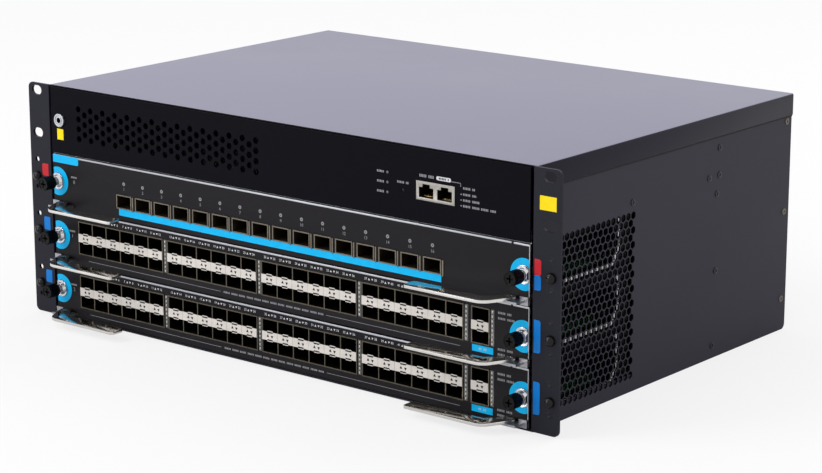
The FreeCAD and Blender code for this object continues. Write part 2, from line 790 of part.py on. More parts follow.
def module_panel(slot):
    """Front sheet with folded lips, cut out for the cages and the thumbscrews."""
    body = new_body(f"module_{slot}_panel")
    low, high = "panel_gap/2", "module_pitch - panel_gap/2"
    pad(body, "X", [[
        ("0", low), ("panel_lip", low), ("panel_lip", f"{low} + panel_sheet"),
        ("panel_sheet", f"{low} + panel_sheet"), ("panel_sheet", f"{high} - panel_sheet"),
        ("panel_lip", f"{high} - panel_sheet"), ("panel_lip", high), ("0", high),
    ]], PANEL_LEFT, PANEL_HALF)
    through = ("0", "panel_sheet")
    foot = "board_level - seat_gap"
    if slot == 0:
        opening = pocket(body, "Y", [
            rectangle(f"{SINGLE_LEFT} - seat_gap", f"{SINGLE_RIGHT} + seat_gap",
                      foot, "board_level + single_height + seat_gap"),
        ], *through)
        repeat(body, [opening], [("X", SINGLE_COUNT, SINGLE_PITCH)])
    else:
        head = "board_level + stack_height + seat_gap"
        opening = pocket(body, "Y", [
            rectangle(f"{STACK_LEFT} - seat_gap", f"{STACK_LEFT} + {STACK_WIDTH} + seat_gap", foot, head),
        ], *through)
        repeat(body, [opening], [("X", STACK_COUNT, STACK_PITCH)])
        pocket(body, "Y", [
            rectangle(f"{PAIR_LEFT} - seat_gap", f"{PAIR_RIGHT} + seat_gap", foot, head),
        ], *through)
    pocket(body, "Y", [
        hexagon(f"{side}*{SCREW_PLACE}", "module_pitch/2", "screw_diameter + 2*turn_fit") for side in (1, -1)
    ], *through)
    return keep(place(body, z=slot_level(slot)))


def module_board(slot):
    """Circuit board on the ledges, with a tongue into the backplane socket."""
    body = new_body(f"module_{slot}_board")
    front, back = "panel_sheet + seat_gap", "panel_sheet + seat_gap + board_length"
    pad(body, "Z", [[
        (f"-{BOARD_HALF}", front), (BOARD_HALF, front), (BOARD_HALF, back), ("tongue_width/2", back),
        ("tongue_width/2", f"{back} + tongue_length"), ("-tongue_width/2", f"{back} + tongue_length"),
        ("-tongue_width/2", back), (f"-{BOARD_HALF}", back),
    ]], "board_level - board_sheet", "board_level")
    return keep(place(body, z=slot_level(slot)))


def module_cages(slot):
    """Port cages on the board: sixteen single ones, or four double rows of six and one pair."""
    body = new_body(f"module_{slot}_cages")
    body.AllowCompound = True
    front, back = "-cage_proud", "cage_depth"
    port = f"({PORT_PITCH} - cage_wall)"
    if slot == 0:
        shell = pad(body, "Y", [
            rectangle(SINGLE_LEFT, SINGLE_RIGHT, "board_level", "board_level + single_height"),
        ], front, back)
        repeat(body, [shell], [("X", SINGLE_COUNT, SINGLE_PITCH)])
        mouth = pocket(body, "Y", [
            rectangle(f"{SINGLE_LEFT} + cage_wall", f"{SINGLE_LEFT} + cage_wall + {port}",
                      "board_level + cage_wall", "board_level + single_height - cage_wall"),
        ], front, "port_depth")
        repeat(body, [mouth], [("X", SINGLE_COUNT, SINGLE_PITCH)])
        return keep(place(body, z=slot_level(slot)))
    shell = pad(body, "Y", [
        rectangle(STACK_LEFT, f"{STACK_LEFT} + {STACK_WIDTH}", "board_level", "board_level + stack_height"),
    ], front, back)
    repeat(body, [shell], [("X", STACK_COUNT, STACK_PITCH)])
    pad(body, "Y", [
        rectangle(PAIR_LEFT, PAIR_RIGHT, "board_level", "board_level + stack_height"),
    ], front, back)
    mouth_height = "((stack_height - stack_band)/2 - cage_wall)"
    lower = "board_level + cage_wall"
    rows = ("Z", 2, f"{mouth_height} + stack_band")
    mouth = pocket(body, "Y", [
        rectangle(f"{STACK_LEFT} + cage_wall", f"{STACK_LEFT} + cage_wall + {port}",
                  lower, f"{lower} + {mouth_height}"),
    ], front, "port_depth")
    repeat(body, [mouth], [("X", STACK_PORTS, PORT_PITCH), rows, ("X", STACK_COUNT, STACK_PITCH)])
    mouth = pocket(body, "Y", [
        rectangle(f"{PAIR_LEFT} + cage_wall", f"{PAIR_LEFT} + cage_wall + {port}",
                  lower, f"{lower} + {mouth_height}"),
    ], front, "port_depth")
    repeat(body, [mouth], [rows])
    return keep(place(body, z=slot_level(slot)))


def module_pivots(slot):
    """Angle brackets at both lower corners of a panel, each with an upright pin for a lever."""
    brackets = []
    shelf_top = "(lever_level - slide_gap)"
    foot = "(lever_level - slide_gap - bracket_sheet)"
    for side in (1, -1):
        body = new_body(f"pivot_{slot}_{side_name(side)}")
        low, high = sided(side, f"{PANEL_HALF} - bracket_width", f"{PANEL_HALF} - lug_width/2")
        pad(body, "X", [rectangle("-bracket_reach", "0", foot, shelf_top)], low, high)
        low, high = sided(side, f"{PANEL_HALF} - lug_width", PANEL_HALF)
        pad(body, "Y", [rectangle(low, high, "panel_gap/2", "lever_level + lever_sheet + slide_gap")],
            "-bracket_sheet", "0")
        pad(body, "Z", [(f"{side}*{PIVOT_PLACE}", "-pivot_reach", "pivot_pin")], f"{foot} + bracket_sheet/2",
            "lever_level + lever_sheet")
        brackets.append(place(body, z=slot_level(slot)))
    return group(f"module_{slot}_pivots", brackets)


def module_lever(slot, side):
    """Ejector lever: a cranked plate with a long grip, turning on the bracket pin."""
    body = new_body(f"module_{slot}_lever_{side_name(side)}")
    eye = "(pivot_reach - swing_gap)"
    inside = "-(lever_reach - grip_width)"
    corners = [
        (GRIP_INNER, "-lever_reach"), (f"{GRIP_OUTER} - bend_cut", "-lever_reach"),
        (f"{GRIP_OUTER} + bend_cut/2", "-lever_reach + bend_cut"),
    ]
    # The eye end is cut to a half octagon about the pin.
    corners += [
        (f"{PIVOT_PLACE} + {eye}*cos({turn})", f"-pivot_reach + {eye}*sin({turn})")
        for turn in range(0, 181, 45)
    ]
    corners += [(f"{GRIP_OUTER} - arm_width", inside), (GRIP_INNER, inside)]
    span = ("lever_level", "lever_level + lever_sheet")
    pad(body, "Z", [[(f"{side}*({x})", y) for x, y in corners]], *span)
    pocket(body, "Z", [(f"{side}*{PIVOT_PLACE}", "-pivot_reach", "pivot_pin + 2*turn_fit")], *span)
    return keep(place(body, z=slot_level(slot)))


def module_screw(slot, side):
    """Captive thumbscrew: fluted knob ahead of the panel and a round neck through it."""
    body = new_body(f"module_{slot}_screw_{side_name(side)}")
    shoulder = "-knob_reach + knob_length"
    prism(body, "knob_flutes", "knob_diameter", "-knob_reach", shoulder)
    pad(body, "Y", [("0", "0", "screw_diameter")], shoulder, "screw_tip")
    return keep(place(body, f"{side}*{SCREW_PLACE}", FRONT, f"{slot_level(slot)} + module_pitch/2"))


# Fans and power supplies at the back

def fan_frames():
    """Square fan frames on the rear wall, each with a cross strut that carries the axle."""
    body = new_body("fan_frames")
    body.AllowCompound = True
    left = f"-{(FANS - 1) / 2}*fan_pitch"
    back = "-tray_sheet"
    front = "(-tray_sheet - fan_thick)"
    sides = (f"{left} - fan_size/2", f"{left} + fan_size/2")
    frame = pad(body, "Y", [rectangle(*sides, "fan_level - fan_size/2", "fan_level + fan_size/2")],
                front, back)
    bore = pocket(body, "Y", [(left, "fan_level", "fan_bore")], front, back)
    strut = pad(body, "Y", [rectangle(*sides, "fan_level - fan_strut", "fan_level + fan_strut")],
                front, f"{front} + fan_strut")
    axle = pad(body, "Y", [(left, "fan_level", "fan_axle")], f"{front} + fan_strut/2", f"{back} - fan_strut")
    repeat(body, [frame, bore, strut, axle], [("X", FANS, "fan_pitch")])
    return keep(place(body, y=REAR))


def fan_rotor(number):
    """Hub on the axle with slanted blades."""
    body = new_body(f"fan_rotor_{number + 1}")
    front = "(-tray_sheet - fan_thick + fan_strut + swing_gap)"
    back = "(-tray_sheet - fan_strut)"
    prism(body, "hub_sides", "hub_diameter", front, back)
    pocket(body, "Y", [("0", "0", "fan_axle + 2*turn_fit")], front, back)
    blade = pad(body, "X", [[
        (f"{front} + blade_inset", "-blade_chord/2"),
        (f"{front} + blade_inset + blade_sheet", "-blade_chord/2"),
        (f"{back} - blade_inset", "blade_chord/2"),
        (f"{back} - blade_inset - blade_sheet", "blade_chord/2"),
    ]], "hub_diameter/2 - blade_root", "fan_bore/2 - blade_clear")
    ring = body.newObject("PartDesign::PolarPattern", "ring")
    ring.Originals = [blade]
    ring.Axis = (origin_feature(body, "Y_Axis"), [""])
    ring.Angle = 360
    ring.setExpression("Occurrences", bound("blade_count"))
    body.Tip = ring
    return keep(place(body, f"{number - (FANS - 1) / 2}*fan_pitch", REAR, "fan_level"))


def power_supply(side):
    """Pull-out supply in four pieces: case, fixed pull handle, spring latch and power inlet."""
    name = f"psu_{side_name(side)}"
    spot = {"x": f"{side}*psu_offset", "y": REAR, "z": f"{DECK_TOP} + slide_gap"}
    middle = f"{PSU_HEIGHT}/2"

    case = new_body(f"{name}_case")
    pad(case, "Y", [rectangle("-psu_width/2", "psu_width/2", "0", PSU_HEIGHT)], "-psu_length", "0")
    inlet_box = rectangle("-inlet_place - inlet_width/2", "-inlet_place + inlet_width/2",
                          f"{middle} - inlet_height/2", f"{middle} + inlet_height/2")
    pocket(case, "Y", [inlet_box], "-inlet_depth", "0")
    pocket(case, "Y", [rectangle("intake_place - intake_width/2", "intake_place + intake_width/2",
                                 "intake_inset", f"{PSU_HEIGHT} - intake_inset")], "-intake_depth", "0")
    well = ("(latch_knuckle/2 + swing_gap)", "(latch_height/2 + seat_gap)")
    pocket(case, "Y", [rectangle(f"latch_place - {well[0]}", f"latch_place + {well[0]}",
                                 f"{middle} - {well[1]}", f"{middle} + {well[1]}")], "-2*latch_knuckle", "0")
    keep(place(case, **spot))

    handle = new_body(f"{name}_handle")
    low, high = "handle_inset", f"({PSU_HEIGHT} - handle_inset)"
    pad(handle, "X", [[
        ("0", low), ("handle_reach", low), ("handle_reach", high), ("0", high), ("0", f"{high} - handle_bar"),
        ("handle_reach - handle_bar", f"{high} - handle_bar"),
        ("handle_reach - handle_bar", f"{low} + handle_bar"), ("0", f"{low} + handle_bar"),
    ]], "-handle_place - handle_width/2", "-handle_place + handle_width/2")
    keep(place(handle, **spot))

    latch = new_body(f"{name}_latch")
    span = (f"{middle} - latch_height/2", f"{middle} + latch_height/2")
    knuckle = "-latch_knuckle"
    pad(latch, "Z", [("latch_place", knuckle, "latch_knuckle")], *span)
    pad(latch, "Z", [[
        ("latch_place - latch_sheet/2", knuckle), ("latch_place + latch_sheet/2", knuckle),
        ("latch_place + latch_sheet/2", "latch_reach - latch_sheet"),
        ("latch_place + latch_tab", "latch_reach - latch_sheet"), ("latch_place + latch_tab", "latch_reach"),
        ("latch_place - latch_sheet/2", "latch_reach"),
    ]], *span)
    keep(place(latch, **spot))

    inlet = new_body(f"{name}_inlet")
    pad(inlet, "Y", [inlet_box], "-inlet_depth", "0")
    half_wide, half_high = "(inlet_width/2 - inlet_wall)", "(inlet_height/2 - inlet_wall)"
    cut = "inlet_height/4"
    pocket(inlet, "Y", [[
        (f"-inlet_place - {half_wide}", f"{middle} - {half_high}"),
        (f"-inlet_place + {half_wide}", f"{middle} - {half_high}"),
        (f"-inlet_place + {half_wide}", f"{middle} + {half_high} - {cut}"),
        (f"-inlet_place + {half_wide} - {cut}", f"{middle} + {half_high}"),
        (f"-inlet_place - {half_wide} + {cut}", f"{middle} + {half_high}"),
        (f"-inlet_place - {half_wide}", f"{middle} + {half_high} - {cut}"),
    ]], "-inlet_depth + inlet_wall", "0")
    pins = []
    for step, rise in ((-1, -1), (0, 1), (1, -1)):
        across, up = f"-inlet_place + {step}*inlet_width/4", f"{middle} + {rise}*inlet_height/10"
        pins.append(rectangle(f"{across} - inlet_pin_width/2", f"{across} + inlet_pin_width/2",
                              f"{up} - inlet_pin_height/2", f"{up} + inlet_pin_height/2"))
    pad(inlet, "Y", pins, "-inlet_depth + inlet_wall/2", "-inlet_wall")
    keep(place(inlet, **spot))


# Build, check and write

base_tray()
for side in (1, -1):
    side_wall(side)
    rack_ear(side)
    card_cage(side)
top_cover()
mid_deck()
front_panel()
ear_studs()
backplane()
backplane_sockets()
control_board()
board_standoffs()
console_ports()
status_lights()
ground_socket()
reset_button()
reset_switch()
for slot in range(SLOTS):
    module_panel(slot)
    module_board(slot)
    module_cages(slot)
    module_pivots(slot)
    for side in (1, -1):
        module_lever(slot, side)
        module_screw(slot, side)
fan_frames()
for number in range(FANS):
    fan_rotor(number)
for side in (1, -1):
    power_supply(side)

doc.recompute()
for item in doc.Objects:
    if any(state in ("Invalid", "Error") for state in item.State):
        raise RuntimeError(f"{item.Label} could not be built: {item.State}")
    if item.TypeId == "PartDesign::Pocket" and item.BaseFeature.Shape.Volume <= item.Shape.Volume:
        raise RuntimeError(f"{item.Label} in {item.getParent().Label} takes nothing away")
os.makedirs("parts", exist_ok=True)
for node in nodes:
    if node.Shape.isNull() or not node.Shape.isValid():
        raise RuntimeError(f"{node.Label} has no sound shape")
    node.Shape.exportStep(f"parts/{node.Label}.step")
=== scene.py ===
import bpy
from math import atan2, cos, pi, radians, sin, sqrt
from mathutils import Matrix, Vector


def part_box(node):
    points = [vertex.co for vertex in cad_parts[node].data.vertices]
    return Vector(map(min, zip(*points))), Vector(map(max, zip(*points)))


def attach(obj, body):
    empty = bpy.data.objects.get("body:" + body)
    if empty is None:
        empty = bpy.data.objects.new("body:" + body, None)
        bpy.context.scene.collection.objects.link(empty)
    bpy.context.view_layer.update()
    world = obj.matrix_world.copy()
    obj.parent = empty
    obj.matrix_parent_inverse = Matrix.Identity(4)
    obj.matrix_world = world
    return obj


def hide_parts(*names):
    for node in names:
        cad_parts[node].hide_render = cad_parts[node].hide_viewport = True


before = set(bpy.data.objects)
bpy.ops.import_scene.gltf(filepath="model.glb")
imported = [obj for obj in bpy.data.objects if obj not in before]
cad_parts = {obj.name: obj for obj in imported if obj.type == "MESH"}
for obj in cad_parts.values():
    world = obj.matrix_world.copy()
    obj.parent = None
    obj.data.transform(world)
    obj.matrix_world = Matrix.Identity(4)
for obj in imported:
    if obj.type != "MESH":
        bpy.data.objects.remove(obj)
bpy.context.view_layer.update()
mm = 0.001  # sizes and places below are in millimetres
print("frame loaded with", len(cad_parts), "nodes")


def scaled(values):  # millimetres to metres
    return [v * mm for v in values]


def nodeBox(node):  # lowest and highest corner of a node
    return [[c / mm for c in corner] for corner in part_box(node)]


def nodeMiddle(node):
    return [(a + b) / 2 for a, b in zip(*nodeBox(node))]


def about(middle, width):  # a span given by its middle
    return middle - width / 2, middle + width / 2


def shifted(span, step):
    return [edge + step for edge in span]


def near(a, b):
    return abs(a - b) < 0.01


modules = range(3)  # upper, middle and lower line module
panelLow, panelHigh = nodeBox("module_0_panel")
frontY = panelLow[1]  # front plane of ears and panels
panelHalf = panelHigh[0]
panelGap = 0.5  # each module panel stops this short of its slot
slotPitch = panelLow[2] - nodeBox("module_1_panel")[0][2]
slotZ = [nodeBox(f"module_{k}_panel")[0][2] - panelGap for k in modules]
bayTop = slotZ[0] + slotPitch
sideNames = {-1: "left", 1: "right"}
through = 8.0  # a cutter this long passes right through a sheet


# hand tools: select, apply, cut, repeat

def leaveEdit():
    bpy.ops.object.mode_set(mode="OBJECT")


def deselectAll():
    if bpy.context.object and bpy.context.object.mode == "EDIT":
        leaveEdit()
    bpy.ops.object.select_all(action="DESELECT")


def selectOnly(piece):
    deselectAll()
    piece.select_set(True)
    bpy.context.view_layer.objects.active = piece


def newObject(name, data):
    piece = bpy.data.objects.new(name, data)
    bpy.context.collection.objects.link(piece)
    return piece


def dropPiece(piece):
    bpy.data.objects.remove(piece, do_unlink=True)


def applyPlace(piece):
    selectOnly(piece)
    bpy.ops.object.transform_apply(location=True, rotation=True, scale=True)
    return piece


def startBox(name, x, y, z):  # each span is (low, high)
    deselectAll()
    spans = (x, y, z)
    bpy.ops.mesh.primitive_cube_add(size=1, location=[(a + b) / 2 * mm for a, b in spans])
    piece = bpy.context.object
    piece.name = name
    piece.scale = [(b - a) * mm for a, b in spans]
    return applyPlace(piece)


def startRound(name, centre, radius, length, sides=32, axis="Y", turn=0.0, tip=None):
    deselectAll()
    tip = radius if tip is None else tip
    bpy.ops.mesh.primitive_cone_add(vertices=sides, radius1=radius * mm, radius2=tip * mm, depth=length * mm)
    piece = bpy.context.object
    piece.name = name
    piece.rotation_euler = (0, 0, turn)
    applyPlace(piece)
    piece.rotation_euler = {"X": (0, pi / 2, 0), "Y": (pi / 2, 0, 0), "Z": (0, 0, 0)}[axis]
    piece.location = scaled(centre)
    return applyPlace(piece)


def editAll(piece, action="SELECT"):  # edit mode with everything selected, or nothing
    selectOnly(piece)
    bpy.ops.object.mode_set(mode="EDIT")
    bpy.ops.mesh.select_all(action=action)


def pickParts(piece, kind, test):  # edit mode with only what passes selected
    editAll(piece, "DESELECT")
    bpy.ops.mesh.select_mode(type=kind)
    leaveEdit()
    mesh = piece.data
    for part in {"FACE": mesh.polygons, "EDGE": mesh.edges, "VERT": mesh.vertices}[kind]:
        part.select = bool(test(part))
    bpy.ops.object.mode_set(mode="EDIT")


def pickFaces(piece, test):  # by centre and normal
    pickParts(piece, "FACE", lambda face: test(face.center / mm, face.normal))


def pickEdges(piece, test):  # an edge counts when both ends pass
    pickParts(piece, "EDGE", lambda edge: all(test(piece.data.vertices[i].co / mm) for i in edge.vertices))


def pickPoints(piece, test):
    pickParts(piece, "VERT", lambda point: test(point.co / mm))


def roundEdges(piece, test, width, steps=4):
    pickEdges(piece, test)
    bpy.ops.mesh.bevel(offset=width * mm, segments=steps, affect="EDGES")
    leaveEdit()


def roundCorners(piece, plane, firsts, seconds, width, steps):  # one at a time; plane is two axes, as "xz"
    for a in firsts:
        for b in seconds:
            roundEdges(piece, lambda p: near(getattr(p, plane[0]), a) and near(getattr(p, plane[1]), b),
                       width, steps)


def pushIn(step):  # extrude what is selected
    bpy.ops.mesh.extrude_region_move(TRANSFORM_OT_translate={"value": scaled(step)})


def insetBy(width, apart=False):
    bpy.ops.mesh.inset(thickness=width * mm, use_individual=apart)


def pressFaces(piece, test, *steps):  # inset what passes and push it along y, once for each step
    pickFaces(piece, test)
    for width, depth in steps:
        insetBy(width)
        pushIn((0, depth, 0))
    leaveEdit()


def moveBy(step):  # what is selected, and done
    bpy.ops.transform.translate(value=scaled(step))
    leaveEdit()


def applyModifier(piece, kind, **settings):
    selectOnly(piece)
    modifier = piece.modifiers.new(kind.lower(), kind)
    for setting, value in settings.items():
        setattr(modifier, setting, value)
    bpy.ops.object.modifier_apply(modifier=modifier.name)
    return piece


def softEdges(piece, width, steps=2):
    return applyModifier(piece, "BEVEL", width=width * mm, segments=steps, limit_method="ANGLE",
                         angle_limit=radians(40), use_clamp_overlap=True)


def repeatAlong(piece, count, step):
    return applyModifier(piece, "ARRAY", count=count, use_relative_offset=False, use_constant_offset=True,
                         constant_offset_displace=scaled(step))


def cutOut(piece, cutter, operation="DIFFERENCE"):
    applyModifier(piece, "BOOLEAN", operation=operation, solver="EXACT", object=cutter)
    dropPiece(cutter)
    return piece


def joinAll(name, pieces):
    deselectAll()
    for piece in pieces:
        piece.select_set(True)
    bpy.context.view_layer.objects.active = pieces[0]
    if len(pieces) > 1:
        bpy.ops.object.join()
    pieces[0].name = name
    return pieces[0]


def tidyNormals(piece):
    editAll(piece)
    bpy.ops.mesh.remove_doubles(threshold=0.001 * mm)
    bpy.ops.mesh.normals_make_consistent(inside=False)
    leaveEdit()


def copyTo(piece, name, shift, mirror=False):  # a copy with a mesh of its own
    selectOnly(piece)
    bpy.ops.object.duplicate(linked=False)
    twin = bpy.context.object
    twin.name = name
    if mirror:
        twin.scale = (-1, 1, 1)
    twin.location = scaled(shift)
    applyPlace(twin)
    if mirror:
        tidyNormals(twin)
    return twin


def withCopies(first, shifts):  # a piece and its copies, still to be joined
    return [first] + [copyTo(first, "spare", shift) for shift in shifts]


def splitAt(piece, point, normal, drop=False):  # a cut line all round
    editAll(piece)
    bpy.ops.mesh.bisect(plane_co=scaled(point), plane_no=normal, clear_outer=drop, use_fill=drop)
    leaveEdit()


def sliceOff(piece, point, normal):  # drop what lies beyond a plane and close the cut
    splitAt(piece, point, normal, drop=True)


def softCopy(node, name, width, steps=2):  # a node's own form with its edges broken
    piece = newObject(name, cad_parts[node].data.copy())
    editAll(piece)
    bpy.ops.mesh.remove_doubles(threshold=0.001 * mm)
    if width:
        bpy.ops.mesh.dissolve_limited(angle_limit=radians(1))
    leaveEdit()
    return softEdges(piece, width, steps) if width else piece


def finishPiece(piece, body, material, replaces=None, smooth=35):
    piece.data.materials.clear()
    piece.data.materials.append(material)
    selectOnly(piece)
    bpy.ops.object.shade_smooth_by_angle(angle=radians(smooth))
    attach(piece, body)
    if replaces:
        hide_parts(replaces)
    return piece


def takeFinish(piece, material, test):  # a second finish on some of the faces
    piece.data.materials.append(material)
    pickFaces(piece, test)
    piece.active_material_index = len(piece.data.materials) - 1
    bpy.ops.object.material_slot_assign()
    leaveEdit()


def darkInside(piece, material, depth):  # painted shade: a darker finish on what lies deeper than this behind the front plane
    takeFinish(piece, material, lambda c, n: c.y > frontY + depth)


def copyToModules(piece, name, body, material, replaces=None):  # {} stands for the module's number
    for k in modules:
        twin = copyTo(piece, name.format(k), (0, 0, slotZ[k] - slotZ[0]))
        finishPiece(twin, body.format(k), material, replaces and replaces.format(k))
    dropPiece(piece)


# finishes

noiseSpan = (0.3, 0.7)  # most of a noise lies between these
coat = dict(grain=0.9, depth=0.05, broad=90.0, mottle=0.025)
plastic = dict(grain=0.6, depth=0.04)
inkFilm = dict(mottle=6.0, fibre=0.5, depth=0.01)
lanes = dict(size=9.0, width=0.05, depth=0.05)


def tone(red, green, blue):  # screen colour, 0 to 255, to a shader colour
    channels = [c / 255 for c in (red, green, blue)]
    return [c / 12.92 if c <= 0.04045 else ((c + 0.055) / 1.055) ** 2.4 for c in channels] + [1.0]


def shade(colour, factor):
    return [c * factor for c in colour[:3]] + [1.0]


def feed(node, inputs):  # an output is linked, a number or colour is set
    for socket, value in inputs.items():
        if isinstance(value, bpy.types.NodeSocket):
            node.id_data.links.new(value, node.inputs[socket])
        else:
            node.inputs[socket].default_value = value
    return node


def addNode(tree, kind, inputs):
    return feed(tree.nodes.new("ShaderNode" + kind), inputs)


def startMaterial(name, metallic, roughness, specular):
    material = bpy.data.materials.new(name)
    material.use_nodes = True
    tree = material.node_tree
    shader = tree.nodes["Principled BSDF"]
    feed(shader, {"Metallic": metallic, "Roughness": roughness, "Specular IOR Level": specular})
    return material, tree, shader, addNode(tree, "TexCoord", {}).outputs["Object"]


def addNoise(tree, source, size, detail=3.0):  # size of one grain in millimetres
    noise = addNode(tree, "TexNoise", {"Vector": source, "Scale": 1 / (size * mm), "Detail": detail})
    return noise.outputs["Fac"]


def addWear(tree, source, shader, low, high):  # roughness that wanders
    spread = addNode(tree, "MapRange", {"Value": source, "From Min": noiseSpan[0], "From Max": noiseSpan[1],
                                        "To Min": low, "To Max": high})
    feed(shader, {"Roughness": spread.outputs["Result"]})


def addTint(tree, source, shader, colour, dark, light):
    ramp = addNode(tree, "ValToRGB", {"Fac": source})
    for stop, place, factor in zip(ramp.color_ramp.elements, noiseSpan, (dark, light)):
        stop.position = place
        stop.color = shade(colour, factor)
    feed(shader, {"Base Color": ramp.outputs["Color"]})


def addBump(tree, source, shader, height, strength):
    bump = addNode(tree, "Bump", {"Height": source, "Strength": strength, "Distance": height * mm})
    feed(shader, {"Normal": bump.outputs["Normal"]})


def powderCoat(name, colour, roughness, specular):
    material, tree, shader, place = startMaterial(name, 0.0, roughness, specular)
    addBump(tree, addNoise(tree, place, coat["grain"], 2.0), shader, coat["depth"], 0.35)
    broad = addNoise(tree, place, coat["broad"])
    addTint(tree, broad, shader, colour, 1 - coat["mottle"], 1 + coat["mottle"])
    addWear(tree, broad, shader, roughness - 0.04, roughness + 0.05)
    return material


def platedMetal(name, colour, roughness, brush=(1.0, 1.0, 1.0), grain=1.2, depth=0.01):
    material, tree, shader, place = startMaterial(name, 1.0, roughness, 0.5)
    stretch = addNode(tree, "Mapping", {"Vector": place, "Scale": brush})
    streaks = addNoise(tree, stretch.outputs["Vector"], grain, 4.0)
    addTint(tree, streaks, shader, colour, 0.9, 1.05)
    addWear(tree, streaks, shader, roughness * 0.75, roughness * 1.3)
    addBump(tree, streaks, shader, depth, 0.3)
    return material


def mouldedPlastic(name, colour, roughness, specular=0.25):
    material, tree, shader, place = startMaterial(name, 0.0, roughness, specular)
    fine = addNoise(tree, place, plastic["grain"])
    addBump(tree, fine, shader, plastic["depth"], 0.3)
    addTint(tree, fine, shader, colour, 0.85, 1.15)
    return material


def printedFilm(name, colour, roughness=0.38):
    material, tree, shader, place = startMaterial(name, 0.0, roughness, 0.15)
    addTint(tree, addNoise(tree, place, inkFilm["mottle"], 4.0), shader, colour, 0.94, 1.04)
    addBump(tree, addNoise(tree, place, inkFilm["fibre"], 2.0), shader, inkFilm["depth"], 0.2)
    return material


def circuitBoard(name, mask, track):
    material, tree, shader, place = startMaterial(name, 0.0, 0.35, 0.5)
    brick = addNode(tree, "TexBrick", {"Vector": place, "Scale": 1 / (lanes["size"] * mm),
                                       "Color1": mask, "Color2": shade(mask, 0.8),
                                       "Mortar": track, "Mortar Size": lanes["width"]})
    feed(shader, {"Base Color": brick.outputs["Color"]})
    addBump(tree, brick.outputs["Fac"], shader, lanes["depth"], 0.3)
    return material


# painted sheen: the cover is the same dark paint as the walls; its light lilac colour stands in for the grazing
# light on the top
coverSheenPaint = powderCoat("coverSheenPaint", tone(148, 147, 165), 0.5, 0.1)
wallPaint = powderCoat("wallPaint", tone(47, 45, 56), 0.42, 0.12)
# painted shade: a darker copy of the cover paint for the cover's side flanges
flangeShadePaint = powderCoat("flangeShadePaint", tone(37, 35, 45), 0.42, 0.1)
earPaint = powderCoat("earPaint", tone(30, 30, 39), 0.4, 0.12)
# painted shade: the front panel has the shell's paint, darkened here for the way light falls on the front
frontShadePaint = powderCoat("frontShadePaint", tone(12, 11, 18), 0.4, 0.03)
modulePaint = powderCoat("modulePaint", tone(26, 24, 27), 0.42, 0.1)
# painted shade: a darker paint for the walls of the grille holes
grilleHoleShade = powderCoat("grilleHoleShade", tone(20, 19, 24), 0.5, 0.04)

zincSheet = platedMetal("zincSheet", (0.55, 0.55, 0.55), 0.32, (1, 0.05, 1))
supplyZinc = platedMetal("supplyZinc", (0.3, 0.3, 0.31), 0.5, (1, 0.05, 1))
# painted shade: near-black zinc for the card cages, which lie in shade behind the side grilles
cageShadeZinc = platedMetal("cageShadeZinc", (0.008, 0.008, 0.009), 0.5, (1, 0.05, 1))
pivotZinc = platedMetal("pivotZinc", (0.36, 0.36, 0.38), 0.36)
bareEdge = platedMetal("bareEdge", (0.46, 0.47, 0.50), 0.42, (0.05, 1, 1))
nickelBright = platedMetal("nickelBright", (0.72, 0.70, 0.67), 0.16, (0.1, 1, 1), 2.5, 0.004)
nickelCage = platedMetal("nickelCage", (0.17, 0.15, 0.12), 0.34, (1, 1, 0.2))
# painted shade: dark finish for the insides of the single cages' mouths
cageInnerShade = platedMetal("cageInnerShade", (0.11, 0.085, 0.055), 0.45)
portShell = platedMetal("portShell", (0.115, 0.1, 0.078), 0.35)
# painted shade: dark finish for the insides of the stacked cages' mouths and of bores
portShadeDark = platedMetal("portShadeDark", (0.035, 0.03, 0.024), 0.4)
jackShell = platedMetal("jackShell", (0.37, 0.355, 0.33), 0.4)
stripMetal = platedMetal("stripMetal", (0.13, 0.125, 0.115), 0.35)
chromeRing = platedMetal("chromeRing", (0.66, 0.66, 0.69), 0.16, grain=3.0, depth=0.004)
blackScrew = platedMetal("blackScrew", (0.045, 0.045, 0.05), 0.3)
goldContact = platedMetal("goldContact", (0.83, 0.6, 0.25), 0.25)

blackPlastic = mouldedPlastic("blackPlastic", tone(14, 14, 16), 0.4)
knobPlastic = mouldedPlastic("knobPlastic", tone(9, 9, 11), 0.2, 0.15)
glossBlack = mouldedPlastic("glossBlack", tone(5, 5, 6), 0.14, 0.26)
coilGrey = mouldedPlastic("coilGrey", tone(58, 58, 60), 0.5)
lampLens = mouldedPlastic("lampLens", tone(92, 94, 98), 0.2)
latchBlue = mouldedPlastic("latchBlue", tone(20, 105, 180), 0.35)
boardGreen = circuitBoard("boardGreen", tone(22, 78, 48), tone(60, 118, 70))

cyanFilm = printedFilm("cyanFilm", tone(2, 178, 236))
blueFilm = printedFilm("blueFilm", tone(8, 116, 200))
redFilm = printedFilm("redFilm", tone(190, 38, 46))
yellowFilm = printedFilm("yellowFilm", tone(246, 216, 9))
bandFilm = printedFilm("bandFilm", tone(212, 206, 200), 0.45)
whiteInk = printedFilm("whiteInk", tone(205, 205, 208), 0.5)
greyInk = printedFilm("greyInk", tone(138, 138, 142), 0.5)
# black print, also used as painted shadow on the cover's front edge and under its flanges
inkAndShadowBlack = printedFilm("inkAndShadowBlack", tone(16, 16, 18), 0.5)
print("finishes made")


# shell: cover, side walls, front panel and ears

# the seam values place a black strip of painted shadow under each cover flange
cover = dict(sheet=1.0, bend=1.4, soft=0.2, seam=(0.5, 1.6), seamDrop=1.2, seamTuck=0.1, seamSoft=0.1)


